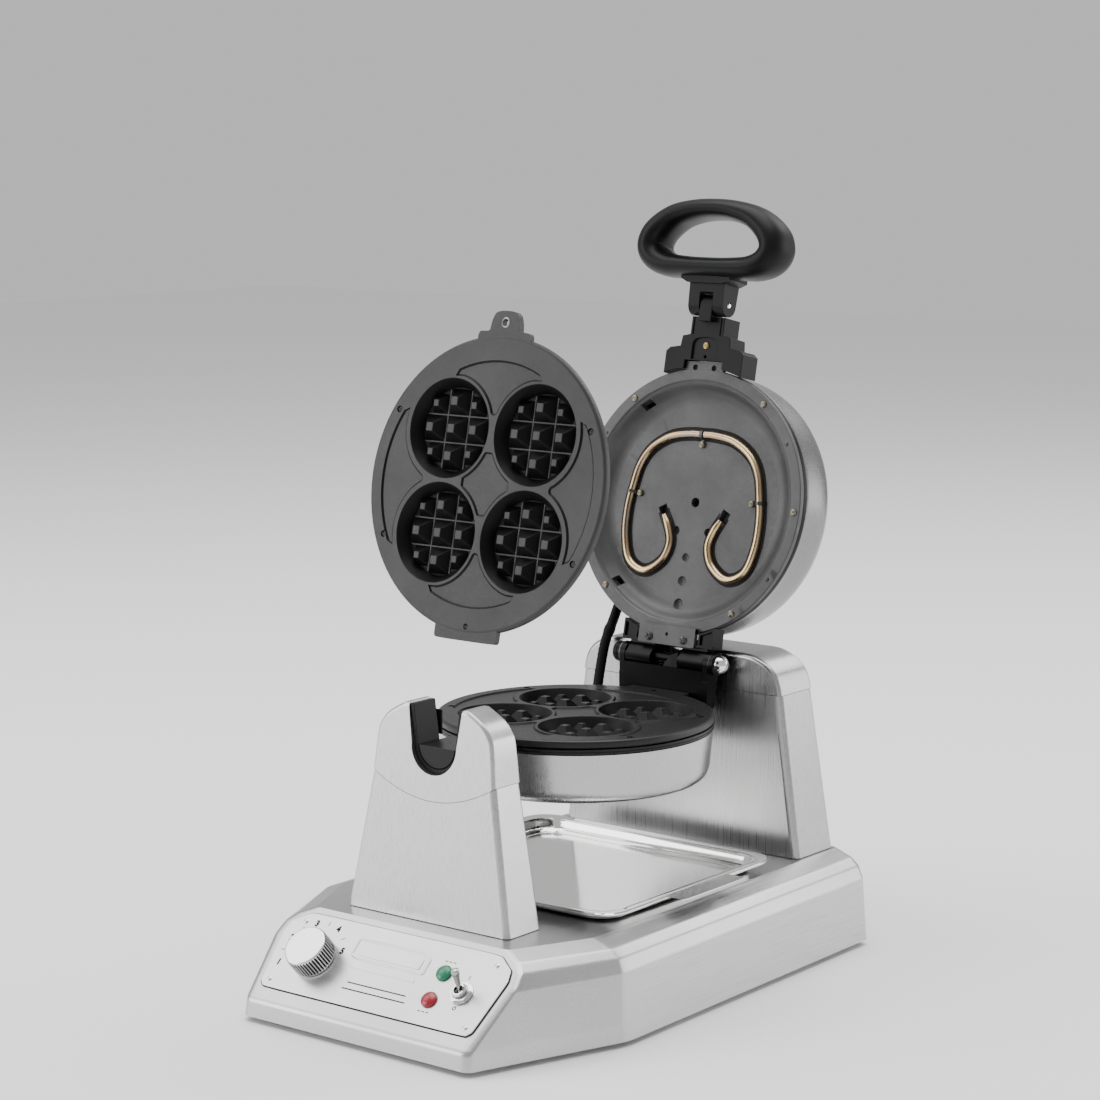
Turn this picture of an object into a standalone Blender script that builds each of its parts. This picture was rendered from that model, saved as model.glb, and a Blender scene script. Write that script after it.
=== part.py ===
"""Rotary waffle maker with an opened lid. Metres, +Z up, front towards -Y, feet on z = 0."""
import math
import bmesh
import bpy
from mathutils import Matrix, Vector

# ---- driving dimensions -------------------------------------------------------------------
GAP = 0.0005
CENTRE = Vector((0.0, 0.02156, 0.0))
FOOT_H = 0.004
DECK_Z = 0.0722
WALL = 0.0018
# base outline per level: z, front y, front half-width, bend y, bend half-width, rear half-width
BASE_LEVELS = (
    (0.0040, -0.2522, 0.1035, -0.1307, 0.1485, 0.1449),
    (0.0164, -0.2508, 0.1028, -0.1307, 0.1475, 0.1440),
    (0.0528, -0.2114, 0.1110, -0.1297, 0.1445, 0.1409),
    (0.0615, -0.2020, 0.1085, -0.1290, 0.1405, 0.1369),
    (0.0668, -0.1962, 0.1020, -0.1290, 0.1340, 0.1304),
    (0.0722, -0.1904, 0.0885, -0.1291, 0.1180, 0.1150),
)
BASE_REAR_Y = 0.1856
CORNER_FRONT = 0.10
CORNER_BEND = 0.22
CORNER_REAR = 0.05
PANEL_TOP = Vector((0.0, -0.1904, 0.0722))
PANEL_LOW = Vector((0.0, -0.2508, 0.0164))
PANEL_OUTLINE = (
    (-0.0870, 0.0055), (0.0870, 0.0055), (0.1010, 0.0150), (0.1035, 0.0244), (0.0975, 0.0660),
    (0.0935, 0.0700), (-0.0935, 0.0700), (-0.0975, 0.0660), (-0.1035, 0.0244), (-0.1010, 0.0150),
)
PANEL_T = 0.0009
KNOB_AT = (-0.0615, 0.0405)
KNOB_R = 0.0155
KNOB_H = 0.0185
SWITCH_AT = (0.0733, 0.0405)
LAMP_X = 0.0504
LAMP_GREEN_D = 0.0286
LAMP_RED_D = 0.0505
LEVER_TILT = 24.0
# front post
FP_HALF_LOW, FP_HALF_SEAM = 0.0744, 0.0560
FP_FRONT_LOW, FP_FRONT_SEAM, FP_FRONT_TOP = -0.1730, -0.1650, -0.1610
FP_BACK = -0.1349
FP_SEAM_Z, FP_SEAM_SAG = 0.1751, 0.0165
FP_TOP_Z = 0.2258
NOTCH_R, NOTCH_TOP_HALF = 0.0206, 0.0246
LINER_OUT, LINER_IN = 0.0202, 0.0172
LINER_BACK = -0.1365
LINER_FRONT = -0.1600
# rear post
RP_HALF_LOW, RP_HALF_SEAM = 0.1122, 0.0948
RP_FRONT = 0.1325
RP_BACK_LOW, RP_BACK_TOP = 0.1842, 0.1765
RP_SEAM_Z = 0.1976
RP_TOP_Z = 0.2268
# head
FLIP_Z = 0.1975
JOURNAL_R = 0.0165
PLATE_R = 0.1038
PLATE_TOP = 0.1958
PLATE_FLANGE = 0.0058
CAVITY_R, CAVITY_FLOOR_R, CAVITY_DEPTH = 0.0347, 0.0300, 0.0125
CAVITY_AT = 0.0369
PEG_STEP = 0.0165
SHELL_LOW_Z = 0.1472
RIM_Z = 0.1856
SEG = 36
# lid
HINGE = Vector((0.0, 0.1195, 0.2185))
LEAN = math.radians(12.24)
LID_U, LID_N = 0.1225, 0.0040
PAN_R = 0.1039
PAN_DEPTH = 0.0115
FOLD_U, FOLD_N = 0.1535, 0.0010
# drawn-off upper plate
UPPER_PLATE_AT = Vector((0.034, -0.1475, 0.3844))
# tray
TRAY_HALF = 0.1134
TRAY_FRONT, TRAY_REAR = -0.1080, 0.1030
TRAY_RIM_Z = 0.0816

UP = Vector((0.0, math.sin(LEAN), math.cos(LEAN)))
OUT = Vector((0.0, -math.cos(LEAN), math.sin(LEAN)))
SIDE = Vector((1.0, 0.0, 0.0))
LID_AT = HINGE + UP * LID_U + OUT * LID_N


def clear_scene():
    for item in list(bpy.data.objects):
        bpy.data.objects.remove(item, do_unlink=True)


clear_scene()
PARTS = bpy.data.collections.new("waffle_maker")
CUTTERS = bpy.data.collections.new("cutters")
bpy.context.scene.collection.children.link(PARTS)
bpy.context.scene.collection.children.link(CUTTERS)

FINISH = {
    "steel": ((0.62, 0.62, 0.61), 0.32, 1.0),
    "polished": ((0.72, 0.72, 0.72), 0.12, 1.0),
    "chrome": ((0.80, 0.80, 0.80), 0.08, 1.0),
    "casting": ((0.10, 0.10, 0.105), 0.45, 0.0),
    "pan": ((0.30, 0.30, 0.31), 0.45, 0.8),
    "plastic": ((0.030, 0.030, 0.032), 0.45, 0.0),
    "rubber": ((0.020, 0.020, 0.020), 0.80, 0.0),
    "heater": ((0.60, 0.47, 0.28), 0.30, 1.0),
    "zinc": ((0.45, 0.45, 0.44), 0.40, 1.0),
    "red": ((0.45, 0.02, 0.02), 0.15, 0.0),
    "green": ((0.03, 0.30, 0.06), 0.15, 0.0),
    "white": ((0.75, 0.75, 0.72), 0.50, 0.0),
}


def material(name, kind):
    colour, rough, metal = FINISH[kind]
    mat = bpy.data.materials.new(name)
    mat.use_nodes = True
    shader = mat.node_tree.nodes["Principled BSDF"]
    shader.inputs["Base Color"].default_value = (*colour, 1.0)
    shader.inputs["Roughness"].default_value = rough
    shader.inputs["Metallic"].default_value = metal
    mat.diffuse_color = (*colour, 1.0)
    return mat


def frame(origin, x_axis, y_axis):
    """Matrix with the given origin and in-plane axes; the third axis is their cross product."""
    z_axis = x_axis.cross(y_axis)
    rows = Matrix((x_axis, y_axis, z_axis)).transposed().to_4x4()
    rows.translation = origin
    return rows


WORLD = Matrix.Identity(4)
LID = frame(LID_AT, SIDE, UP)
PANEL_DOWN = (PANEL_LOW - PANEL_TOP).normalized()
PANEL = frame(PANEL_TOP, SIDE, -PANEL_DOWN)
HEAD = frame(Vector((0.0, 0.0, PLATE_TOP)), SIDE, Vector((0.0, -1.0, 0.0)))
ALONG_Y = frame(Vector((0.0, 0.0, 0.0)), SIDE, Vector((0.0, 0.0, 1.0)))


def add(name, mesh_data, place, kind, origin=None):
    """Make an object from a bmesh given in the local frame `place`."""
    bmesh.ops.remove_doubles(mesh_data, verts=mesh_data.verts, dist=1e-6)
    bmesh.ops.transform(mesh_data, matrix=place, verts=mesh_data.verts)
    if origin is not None:
        bmesh.ops.translate(mesh_data, vec=-Vector(origin), verts=mesh_data.verts)
    bmesh.ops.recalc_face_normals(mesh_data, faces=mesh_data.faces)
    mesh = bpy.data.meshes.new(name)
    mesh_data.to_mesh(mesh)
    mesh_data.free()
    item = bpy.data.objects.new(name, mesh)
    item.location = CENTRE if origin is None else CENTRE + Vector(origin)
    if kind is None:
        CUTTERS.objects.link(item)
        item.hide_render = True
        item.display_type = "WIRE"
    else:
        PARTS.objects.link(item)
        mesh.materials.append(material(name, kind))
    return item


def loft(rings, closed=False, data=None):
    """Skin equal-length rings; the ends are capped, or joined to each other when closed."""
    data = data or bmesh.new()
    rows = [[data.verts.new(point) for point in ring] for ring in rings]
    count = len(rows[0])
    pairs = list(zip(rows[:-1], rows[1:]))
    if closed:
        pairs.append((rows[-1], rows[0]))
    for low, high in pairs:
        for index in range(count):
            after = (index + 1) % count
            data.faces.new((low[index], low[after], high[after], high[index]))
    if not closed:
        data.faces.new(rows[0])
        data.faces.new(rows[-1])
    return data


def prism(outline, low, high, data=None):
    """Straight prism of an (x, y) outline between two local heights."""
    return loft([[(x, y, low) for x, y in outline], [(x, y, high) for x, y in outline]], data=data)


def circle(radius, z, count=SEG, x=0.0, y=0.0, turn=0.0):
    step = math.tau / count
    return [(x + radius * math.cos(turn + step * i), y + radius * math.sin(turn + step * i), z)
            for i in range(count)]


def lathe(profile, count=SEG, closed=False, data=None, x=0.0, y=0.0):
    """Turn a profile of (radius, height) pairs about the local z axis."""
    return loft([circle(radius, z, count, x, y) for radius, z in profile], closed, data)


def block(low, high, data=None):
    outline = ((low[0], low[1]), (high[0], low[1]), (high[0], high[1]), (low[0], high[1]))
    return prism(outline, low[2], high[2], data)


def boolean(item, cutter, operation="DIFFERENCE"):
    step = item.modifiers.new(operation.lower(), "BOOLEAN")
    step.operation = operation
    step.solver = "EXACT"
    step.object = cutter


def soften(item, width, steps, wanted):
    """Bevel only the edges whose two end points satisfy the test."""
    mesh = item.data
    layer = mesh.attributes.new("bevel_weight_edge", "FLOAT", "EDGE")
    for edge in mesh.edges:
        first = mesh.vertices[edge.vertices[0]].co
        second = mesh.vertices[edge.vertices[1]].co
        layer.data[edge.index].value = 1.0 if wanted(first, second) else 0.0
    step = item.modifiers.new("soft_edges", "BEVEL")
    step.limit_method = "WEIGHT"
    step.width = width
    step.segments = steps


def rounded(points, cuts, steps):
    """Replace each corner of a polygon by a short curve; cuts are fractions of the sides."""
    result = []
    total = len(points)
    for index, corner in enumerate(points):
        here = Vector(corner)
        before = Vector(points[index - 1])
        after = Vector(points[(index + 1) % total])
        reach = cuts[index]
        start = here + (before - here) * reach
        end = here + (after - here) * reach
        for step in range(steps + 1):
            t = step / steps
            spot = start * (1 - t) ** 2 + here * 2 * t * (1 - t) + end * t ** 2
            result.append(tuple(spot))
    return result


def smooth_path(points, steps):
    """Catmull-Rom curve through the points."""
    spots = [Vector(point) for point in points]
    ends = [spots[0] * 2 - spots[1], *spots, spots[-1] * 2 - spots[-2]]
    result = []
    for index in range(1, len(ends) - 2):
        a, b, c, d = ends[index - 1:index + 3]
        for step in range(steps):
            t = step / steps
            result.append(0.5 * (2 * b + (c - a) * t + (2 * a - 5 * b + 4 * c - d) * t * t
                                 + (3 * b - a - 3 * c + d) * t ** 3))
    result.append(spots[-1])
    return result


def sweep(path, size, hint, count, closed=False, data=None):
    """Tube along a path. size(i) gives the half-width across and along the hint direction."""
    rings = []
    total = len(path)
    for index, spot in enumerate(path):
        before = path[index - 1] if (closed or index) else path[0]
        after = path[(index + 1) % total] if (closed or index < total - 1) else path[-1]
        along = (after - before).normalized()
        across = along.cross(hint).normalized()
        other = across.cross(along).normalized()
        wide, deep = size(index)
        ring = []
        for step in range(count):
            turn = math.tau * step / count
            ring.append(tuple(spot + across * wide * math.cos(turn) + other * deep * math.sin(turn)))
        rings.append(ring)
    return loft(rings, closed, data)


# ---- base ---------------------------------------------------------------------------------
def base_ring(level, inset):
    z, front_y, front_half, bend_y, bend_half, rear_half = level
    rear = BASE_REAR_Y - inset
    front = front_y + inset
    points = [
        (-front_half + inset, front, z), (front_half - inset, front, z), (bend_half - inset, bend_y, z),
        (rear_half - inset, rear, z), (-rear_half + inset, rear, z), (-bend_half + inset, bend_y, z),
    ]
    cuts = (CORNER_FRONT, CORNER_FRONT, CORNER_BEND, CORNER_REAR, CORNER_REAR, CORNER_BEND)
    return rounded(points, cuts, 3)


def base():
    outer = [base_ring(level, 0.0) for level in BASE_LEVELS]
    inner_levels = [(level[0] - (0.0 if i == 0 else WALL), *level[1:]) for i, level in enumerate(BASE_LEVELS)]
    inner = [base_ring(level, WALL) for level in inner_levels]
    data = bmesh.new()
    rows = [[data.verts.new(point) for point in ring] for ring in [*reversed(inner), *outer]]
    count = len(rows[0])
    for low, high in zip(rows[:-1], rows[1:]):
        for index in range(count):
            after = (index + 1) % count
            data.faces.new((low[index], low[after], high[after], high[index]))
    data.faces.new(rows[0])
    data.faces.new(rows[-1])
    shell = add("base_shell", data, WORLD, "steel")
    boolean(shell, panel_holes())
    cover = base_ring((BASE_LEVELS[0][0], *BASE_LEVELS[0][1:]), WALL + 0.0012)
    low = FOOT_H + 0.0006
    rings = [[(x, y, low) for x, y, _ in cover], [(x, y, low + 0.0012) for x, y, _ in cover]]
    add("base_bottom_cover", loft(rings), WORLD, "steel")
    for index, (x, y) in enumerate(((-0.080, -0.215), (0.080, -0.215), (0.115, 0.150), (-0.115, 0.150))):
        foot = lathe(((0.0105, 0.0), (0.0120, 0.0012), (0.0120, FOOT_H + 0.0001)), 16)
        add(f"foot_{index + 1}", foot, Matrix.Translation((x, y, 0.0)), "rubber")


def panel_holes():
    data = bmesh.new()
    for (x, d), radius in ((KNOB_AT, 0.0050), (SWITCH_AT, 0.0064),
                           ((LAMP_X, LAMP_GREEN_D), 0.0050), ((LAMP_X, LAMP_RED_D), 0.0050)):
        lathe(((radius, -0.012), (radius, 0.006)), 12, data=data, x=x, y=-d)
    return add("panel_hole_cutters", data, PANEL, None)


def panel_matrix(at):
    return PANEL @ Matrix.Translation((at[0], -at[1], 0.0))


def controls():
    plate = prism([(x, -d) for x, d in PANEL_OUTLINE], 0.0004, 0.0004 + PANEL_T)
    item = add("control_panel", plate, PANEL, "steel")
    boolean(item, bpy.data.objects["panel_hole_cutters"])
    knob_at = panel_matrix(KNOB_AT)
    top = 0.0004 + PANEL_T
    low = top + GAP
    skirt = ((KNOB_R - 0.001, low), (KNOB_R, low + 0.001), (KNOB_R, KNOB_H - 0.0012),
             (KNOB_R - 0.0012, KNOB_H))
    knob = add("thermostat_knob", lathe(skirt, 24), knob_at, "chrome", knob_at.translation)
    boolean(knob, add("knob_bore_cutter", lathe(((0.0034, 0.0), (0.0034, 0.011)), 12), knob_at, None))
    shaft = lathe(((0.0140, -0.0300), (0.0140, -0.0080), (0.0030, -0.0080), (0.0030, 0.0100)), 16)
    add("thermostat", shaft, knob_at, "zinc")
    for name, d, kind in (("green_lamp", LAMP_GREEN_D, "green"), ("red_lamp", LAMP_RED_D, "red")):
        lamp = ((0.0045, -0.018), (0.0045, low), (0.0062, low), (0.0062, low + 0.0012),
                (0.0045, low + 0.0030))
        add(name, lathe(lamp, 16), panel_matrix((LAMP_X, d)), kind)
    switch_at = panel_matrix(SWITCH_AT)
    body = bmesh.new()
    lathe(((0.0110, -0.0260), (0.0110, -0.0080), (0.0056, -0.0080), (0.0056, 0.0065)), 16, data=body)
    item = add("switch_body", body, switch_at, "zinc")
    socket = lathe(((0.0036, 0.0005), (0.0046, 0.0090)), 12)
    boolean(item, add("switch_socket_cutter", socket, switch_at, None))
    nut = bmesh.new()
    loft([circle(0.0061, low, 12), circle(0.0061, low + 0.0030, 12), circle(0.0088, low + 0.0030, 12),
          circle(0.0088, low, 12)], closed=True, data=nut)
    add("switch_nut", nut, switch_at, "chrome")
    pivot = switch_at @ Matrix.Translation((0.0, 0.0, 0.0040))
    lever = pivot @ Matrix.Rotation(math.radians(-LEVER_TILT), 4, "X")
    shape = ((0.0010, -0.0016), (0.0020, -0.0012), (0.0017, 0.0040), (0.0024, 0.0125), (0.0031, 0.0155),
             (0.0024, 0.0180), (0.0008, 0.0187))
    add("switch_lever", lathe(shape, 10), lever, "chrome", pivot.translation)


# ---- posts --------------------------------------------------------------------------------
def mix(value, low, high, first, last):
    t = (value - low) / (high - low)
    return first + (last - first) * t


def front_y(z):
    if z < FP_SEAM_Z:
        return mix(z, DECK_Z, FP_SEAM_Z, FP_FRONT_LOW, FP_FRONT_SEAM)
    return mix(z, FP_SEAM_Z, FP_TOP_Z, FP_FRONT_SEAM, FP_FRONT_TOP)


def upright(name, outline, front, back, kind, inset=0.0):
    """Solid between a front and a back surface over an (x, z) outline."""
    rings = [[(x, front(z) + inset, z) for x, z in outline], [(x, back(z) - inset, z) for x, z in outline]]
    return add(name, loft(rings), WORLD, kind)


def seam_arc(half, drop):
    count = 8
    return [(half * (1 - 2 * i / count), FP_SEAM_Z - drop - FP_SEAM_SAG * (1 - (1 - 2 * i / count) ** 2))
            for i in range(count + 1)]


def notch_points(radius, half_top, top, count=8):
    arc = [(radius * math.cos(math.pi * i / count), FLIP_Z - radius * math.sin(math.pi * i / count))
           for i in range(count + 1)]
    return [(half_top, top), *arc, (-half_top, top)]


def front_post():
    low = DECK_Z + GAP
    outline = [(-FP_HALF_LOW, low), (FP_HALF_LOW, low), *seam_arc(FP_HALF_SEAM, 0.0004)]
    post = upright("front_post", outline, front_y, lambda z: FP_BACK, "steel")
    soften(post, 0.0045, 3, lambda a, b: abs(a.z - b.z) > 0.05)
    wall = 0.0020
    inner = [(-FP_HALF_LOW + wall, 0.06), (FP_HALF_LOW - wall, 0.06)]
    inner += [(x * 0.96, z - wall) for x, z in seam_arc(FP_HALF_SEAM, 0.0)]
    hollow = upright("front_post_cutter", inner, front_y, lambda z: FP_BACK, None, wall)
    boolean(post, hollow)
    shoulder = [(0.0560, FP_SEAM_Z), (0.0530, 0.2020), (0.0500, 0.2100), (0.0440, 0.2170),
                (0.0350, 0.2225), (0.0285, FP_TOP_Z)]
    notch = notch_points(NOTCH_R, NOTCH_TOP_HALF, FP_TOP_Z)
    outline = [*shoulder, *notch, *[(-x, z) for x, z in reversed(shoulder)]]
    outline += list(reversed(seam_arc(FP_HALF_SEAM, 0.0)))[1:-1]
    cap = upright("front_post_cap", outline, front_y, lambda z: FP_BACK, "steel")
    soften(cap, 0.0026, 3, lambda a, b: shoulder_edge(a, b))
    outer = notch_points(LINER_OUT, 0.0241, 0.2252)
    inside = notch_points(LINER_IN, 0.0208, 0.2252)
    rings = [[(x, LINER_FRONT, z) for x, z in [*outer, *reversed(inside)]],
             [(x, LINER_BACK, z) for x, z in [*outer, *reversed(inside)]]]
    add("notch_liner", loft(rings), WORLD, "plastic")
    stop = block((-0.0240, -0.1344, 0.1990), (-0.0172, -0.1328, 0.2170))
    add("notch_stop", stop, WORLD, "plastic")


def shoulder_edge(a, b):
    """True for the cap's outer top outline, front and back, and for its outer vertical corners."""
    flat = abs(a.y - b.y) < 0.006
    outside = min(abs(a.x), abs(b.x)) > 0.0265
    above = min(a.z, b.z) > FP_SEAM_Z - 0.001
    return flat and outside and above


def rear_back(z):
    return mix(z, DECK_Z, RP_TOP_Z, RP_BACK_LOW, RP_BACK_TOP)


def rear_post():
    low = DECK_Z + GAP
    seam = RP_SEAM_Z - 0.0004
    half = RP_HALF_SEAM
    outline = [(-RP_HALF_LOW, low), (RP_HALF_LOW, low), (half, seam), (-half, seam)]
    post = upright("rear_post", outline, lambda z: RP_FRONT, rear_back, "steel")
    soften(post, 0.0060, 3, lambda a, b: abs(a.z - b.z) > 0.05)
    wall = 0.0020
    inner = [(-RP_HALF_LOW + wall, 0.06), (RP_HALF_LOW - wall, 0.06), (half - wall * 2, 0.1800),
             (-half + wall * 2, 0.1800)]
    boolean(post, upright("rear_post_cutter", inner, lambda z: RP_FRONT, rear_back, None, wall))
    shoulder = [(half, RP_SEAM_Z), (0.0925, 0.2070), (0.0880, 0.2150), (0.0800, 0.2215), (0.0690, 0.2258),
                (0.0600, RP_TOP_Z)]
    outline = [*shoulder, *[(-x, z) for x, z in reversed(shoulder)]]
    cap = upright("rear_post_cap", outline, lambda z: RP_FRONT, rear_back, "steel")
    soften(cap, 0.0035, 3, lambda a, b: abs(a.y - b.y) < 0.004 and min(a.z, b.z) > RP_SEAM_Z - 0.001
           and abs(a.z - b.z) + abs(a.x - b.x) < 0.125 and max(a.z, b.z) > RP_SEAM_Z + 0.001)
    bore = lathe(((0.0145, -0.1560), (0.0145, -0.1300)), 20)
    cutter = add("bearing_bore_cutter", bore, ALONG_Y @ Matrix.Translation((0.0, FLIP_Z, 0.0)), None)
    boolean(post, cutter)
    boolean(cap, cutter)
    ring = lathe(((0.0098, -0.1540), (0.0140, -0.1540), (0.0140, -0.1332), (0.0098, -0.1332)), 20, True)
    add("rear_bearing", ring, ALONG_Y @ Matrix.Translation((0.0, FLIP_Z, 0.0)), "zinc")


# ---- drip tray ----------------------------------------------------------------------------
def tray_ring(grow, z):
    points = [(-TRAY_HALF - grow, TRAY_FRONT - grow, z), (TRAY_HALF + grow, TRAY_FRONT - grow, z),
              (TRAY_HALF + grow, TRAY_REAR + grow, z), (-TRAY_HALF - grow, TRAY_REAR + grow, z)]
    return rounded(points, (0.11, 0.11, 0.11, 0.11), 5)


def tray():
    floor = DECK_Z + GAP
    skin = 0.0008
    data = bmesh.new()
    rings = [tray_ring(-0.0130, floor), tray_ring(-0.0095, floor + 0.0012), tray_ring(-0.0072, TRAY_RIM_Z - skin),
             tray_ring(-0.0005, TRAY_RIM_Z - skin), tray_ring(0.0, TRAY_RIM_Z - 0.0020),
             tray_ring(0.0008, TRAY_RIM_Z - 0.0020), tray_ring(0.0003, TRAY_RIM_Z),
             tray_ring(-0.0080, TRAY_RIM_Z), tray_ring(-0.0103, floor + 0.0020),
             tray_ring(-0.0132, floor + skin)]
    loft(rings, data=data)
    item = add("drip_tray", data, WORLD, "polished")
    tab = [(0.0, -0.0400), (0.0, 0.0380), (0.0150, 0.0380), (0.0170, 0.0340), (0.0170, -0.0360), (0.0150, -0.0400)]
    data = prism([(TRAY_HALF - 0.0015 + x, y) for x, y in tab], TRAY_RIM_Z - 0.0009, TRAY_RIM_Z + 0.0002)
    boolean(item, add("tray_tab_union", data, WORLD, None), "UNION")


# ---- head ---------------------------------------------------------------------------------
def cup(profile, skin):
    """Thin turned cup from its outer profile, rim first, ending near the axis."""
    inner = [(radius - skin, z + skin * (0 if i < 2 else 1)) for i, (radius, z) in enumerate(profile)]
    return lathe([*reversed(inner), *profile])


def plate(name, place, kind, tongue):
    """Cooking plate: face at local z = 0 looking up, bowls below."""
    flange = lathe(((PLATE_R - 0.0006, 0.0), (PLATE_R, -0.0006), (PLATE_R, -PLATE_FLANGE + 0.0006),
                    (PLATE_R - 0.0006, -PLATE_FLANGE)), 40)
    item = add(name, flange, place, kind)
    tabs = bmesh.new()
    outline = [(-0.0240, 0.0940), (0.0240, 0.0940), (0.0240, 0.1010), (0.0225, 0.1040), (0.0160, 0.1055),
               (0.0145, 0.1180), (0.0110, 0.1210), (-0.0110, 0.1210), (-0.0145, 0.1180), (-0.0160, 0.1055),
               (-0.0225, 0.1040), (-0.0240, 0.1010)]
    prism(outline, -PLATE_FLANGE + 0.0010, -0.0010, tabs)
    if tongue:
        outline = [(-0.0275, -0.0940), (-0.0275, -0.1070), (-0.0255, -0.1090), (0.0255, -0.1090),
                   (0.0275, -0.1070), (0.0275, -0.0940)]
        prism(outline, -PLATE_FLANGE + 0.0010, -0.0010, tabs)
    boolean(item, add(name + "_tabs_union", tabs, place, None), "UNION")
    bowls = bmesh.new()
    spaces = bmesh.new()
    pegs = bmesh.new()
    floor = -CAVITY_DEPTH
    for cx in (-CAVITY_AT, CAVITY_AT):
        for cy in (-CAVITY_AT, CAVITY_AT):
            lathe(((CAVITY_R + 0.0018, -0.0030), (CAVITY_FLOOR_R + 0.0030, floor - 0.0032)), 18, data=bowls, x=cx,
                  y=cy)
            lathe(((CAVITY_FLOOR_R, floor), (CAVITY_R + 0.0010, 0.0026)), 18, data=spaces, x=cx, y=cy)
            peg_group(pegs, cx, cy, floor)
    boolean(item, add(name + "_bowls_union", bowls, place, None), "UNION")
    boolean(item, add(name + "_cavities_cutter", spaces, place, None))
    boolean(item, add(name + "_pegs_union", pegs, place, None), "UNION")
    holes = bmesh.new()
    lathe(((0.0028, -0.02), (0.0028, 0.01)), 10, data=holes, y=0.1125)
    if tongue:
        lathe(((0.0022, -0.02), (0.0022, 0.01)), 10, data=holes, y=-0.0985)
    boolean(item, add(name + "_holes_cutter", holes, place, None))
    return item


def peg_group(data, cx, cy, floor):
    """Five truncated square pegs per cavity."""
    foot, head, low = 0.0043, 0.0031, floor - 0.0010
    for ox, oy in ((0, 0), (1, 0), (-1, 0), (0, 1), (0, -1)):
        x, y = cx + ox * PEG_STEP, cy + oy * PEG_STEP
        rings = [[(x + half * sx, y + half * sy, z) for sx, sy in ((-1, -1), (1, -1), (1, 1), (-1, 1))]
                 for half, z in ((foot, low), (head, floor + 0.0070))]
        loft(rings, data=data)


HEATER_HALF = ((0.0270, -0.0120), (0.0212, -0.0220), (0.0183, -0.0340), (0.0240, -0.0480), (0.0395, -0.0572),
               (0.0550, -0.0500), (0.0618, -0.0305), (0.0628, -0.0100), (0.0604, 0.0080), (0.0560, 0.0260),
               (0.0466, 0.0400), (0.0300, 0.0500), (0.0120, 0.0532), (0.0, 0.0533))


def heater_path(depth, steps=3, beyond=0.0):
    right = [(x, y, depth) for x, y in HEATER_HALF]
    if beyond:
        right.insert(0, (HEATER_HALF[0][0] + beyond * 0.5, HEATER_HALF[0][1] + beyond, depth))
    left = [(-x, y, depth) for x, y, _ in reversed(right[:-1])]
    return smooth_path([*right, *left], steps)


def pan(name, place, lugs):
    """Heater pan: rim at local z = 0, dish below it, with a channel for the heater tube."""
    profile = ((0.0935, -0.0050), (PAN_R - 0.0004, -0.0050), (PAN_R, -0.0046), (PAN_R, -0.0004),
               (PAN_R - 0.0004, 0.0), (0.0948, 0.0), (0.0930, -0.0022), (0.0900, -0.0030), (0.0860, -0.0085),
               (0.0800, -PAN_DEPTH), (0.0200, -PAN_DEPTH))
    back = ((0.0200, -0.0235), (0.0860, -0.0235), (0.0900, -0.0200))
    item = add(name, lathe([*back, *profile], SEG), place, "pan")
    if lugs:
        tongues = bmesh.new()
        block((-0.0265, -0.1128, 0.0002), (0.0265, -0.1000, 0.0040), tongues)
        root = bmesh.new()
        block((-0.0265, -0.1015, -0.0030), (0.0265, -0.0975, 0.0040), root)
        boolean(item, add(name + "_root_union", root, place, None), "UNION")
        block((-0.0172, 0.1000, -0.0048), (0.0172, 0.1090, -0.0002), tongues)
        boolean(item, add(name + "_tongues_union", tongues, place, None), "UNION")
    path = heater_path(-0.0125, 2, 0.0045)
    channel = sweep(path, lambda i: (0.0072, 0.0072), Vector((0, 0, 1)), 8)
    boolean(item, add(name + "_channel_cutter", channel, place, None))
    return item


def heater(name, place):
    tube = sweep(heater_path(-0.0125, 2), lambda i: (0.0040, 0.0040), Vector((0, 0, 1)), 7)
    add(name, tube, place, "heater")


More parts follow.
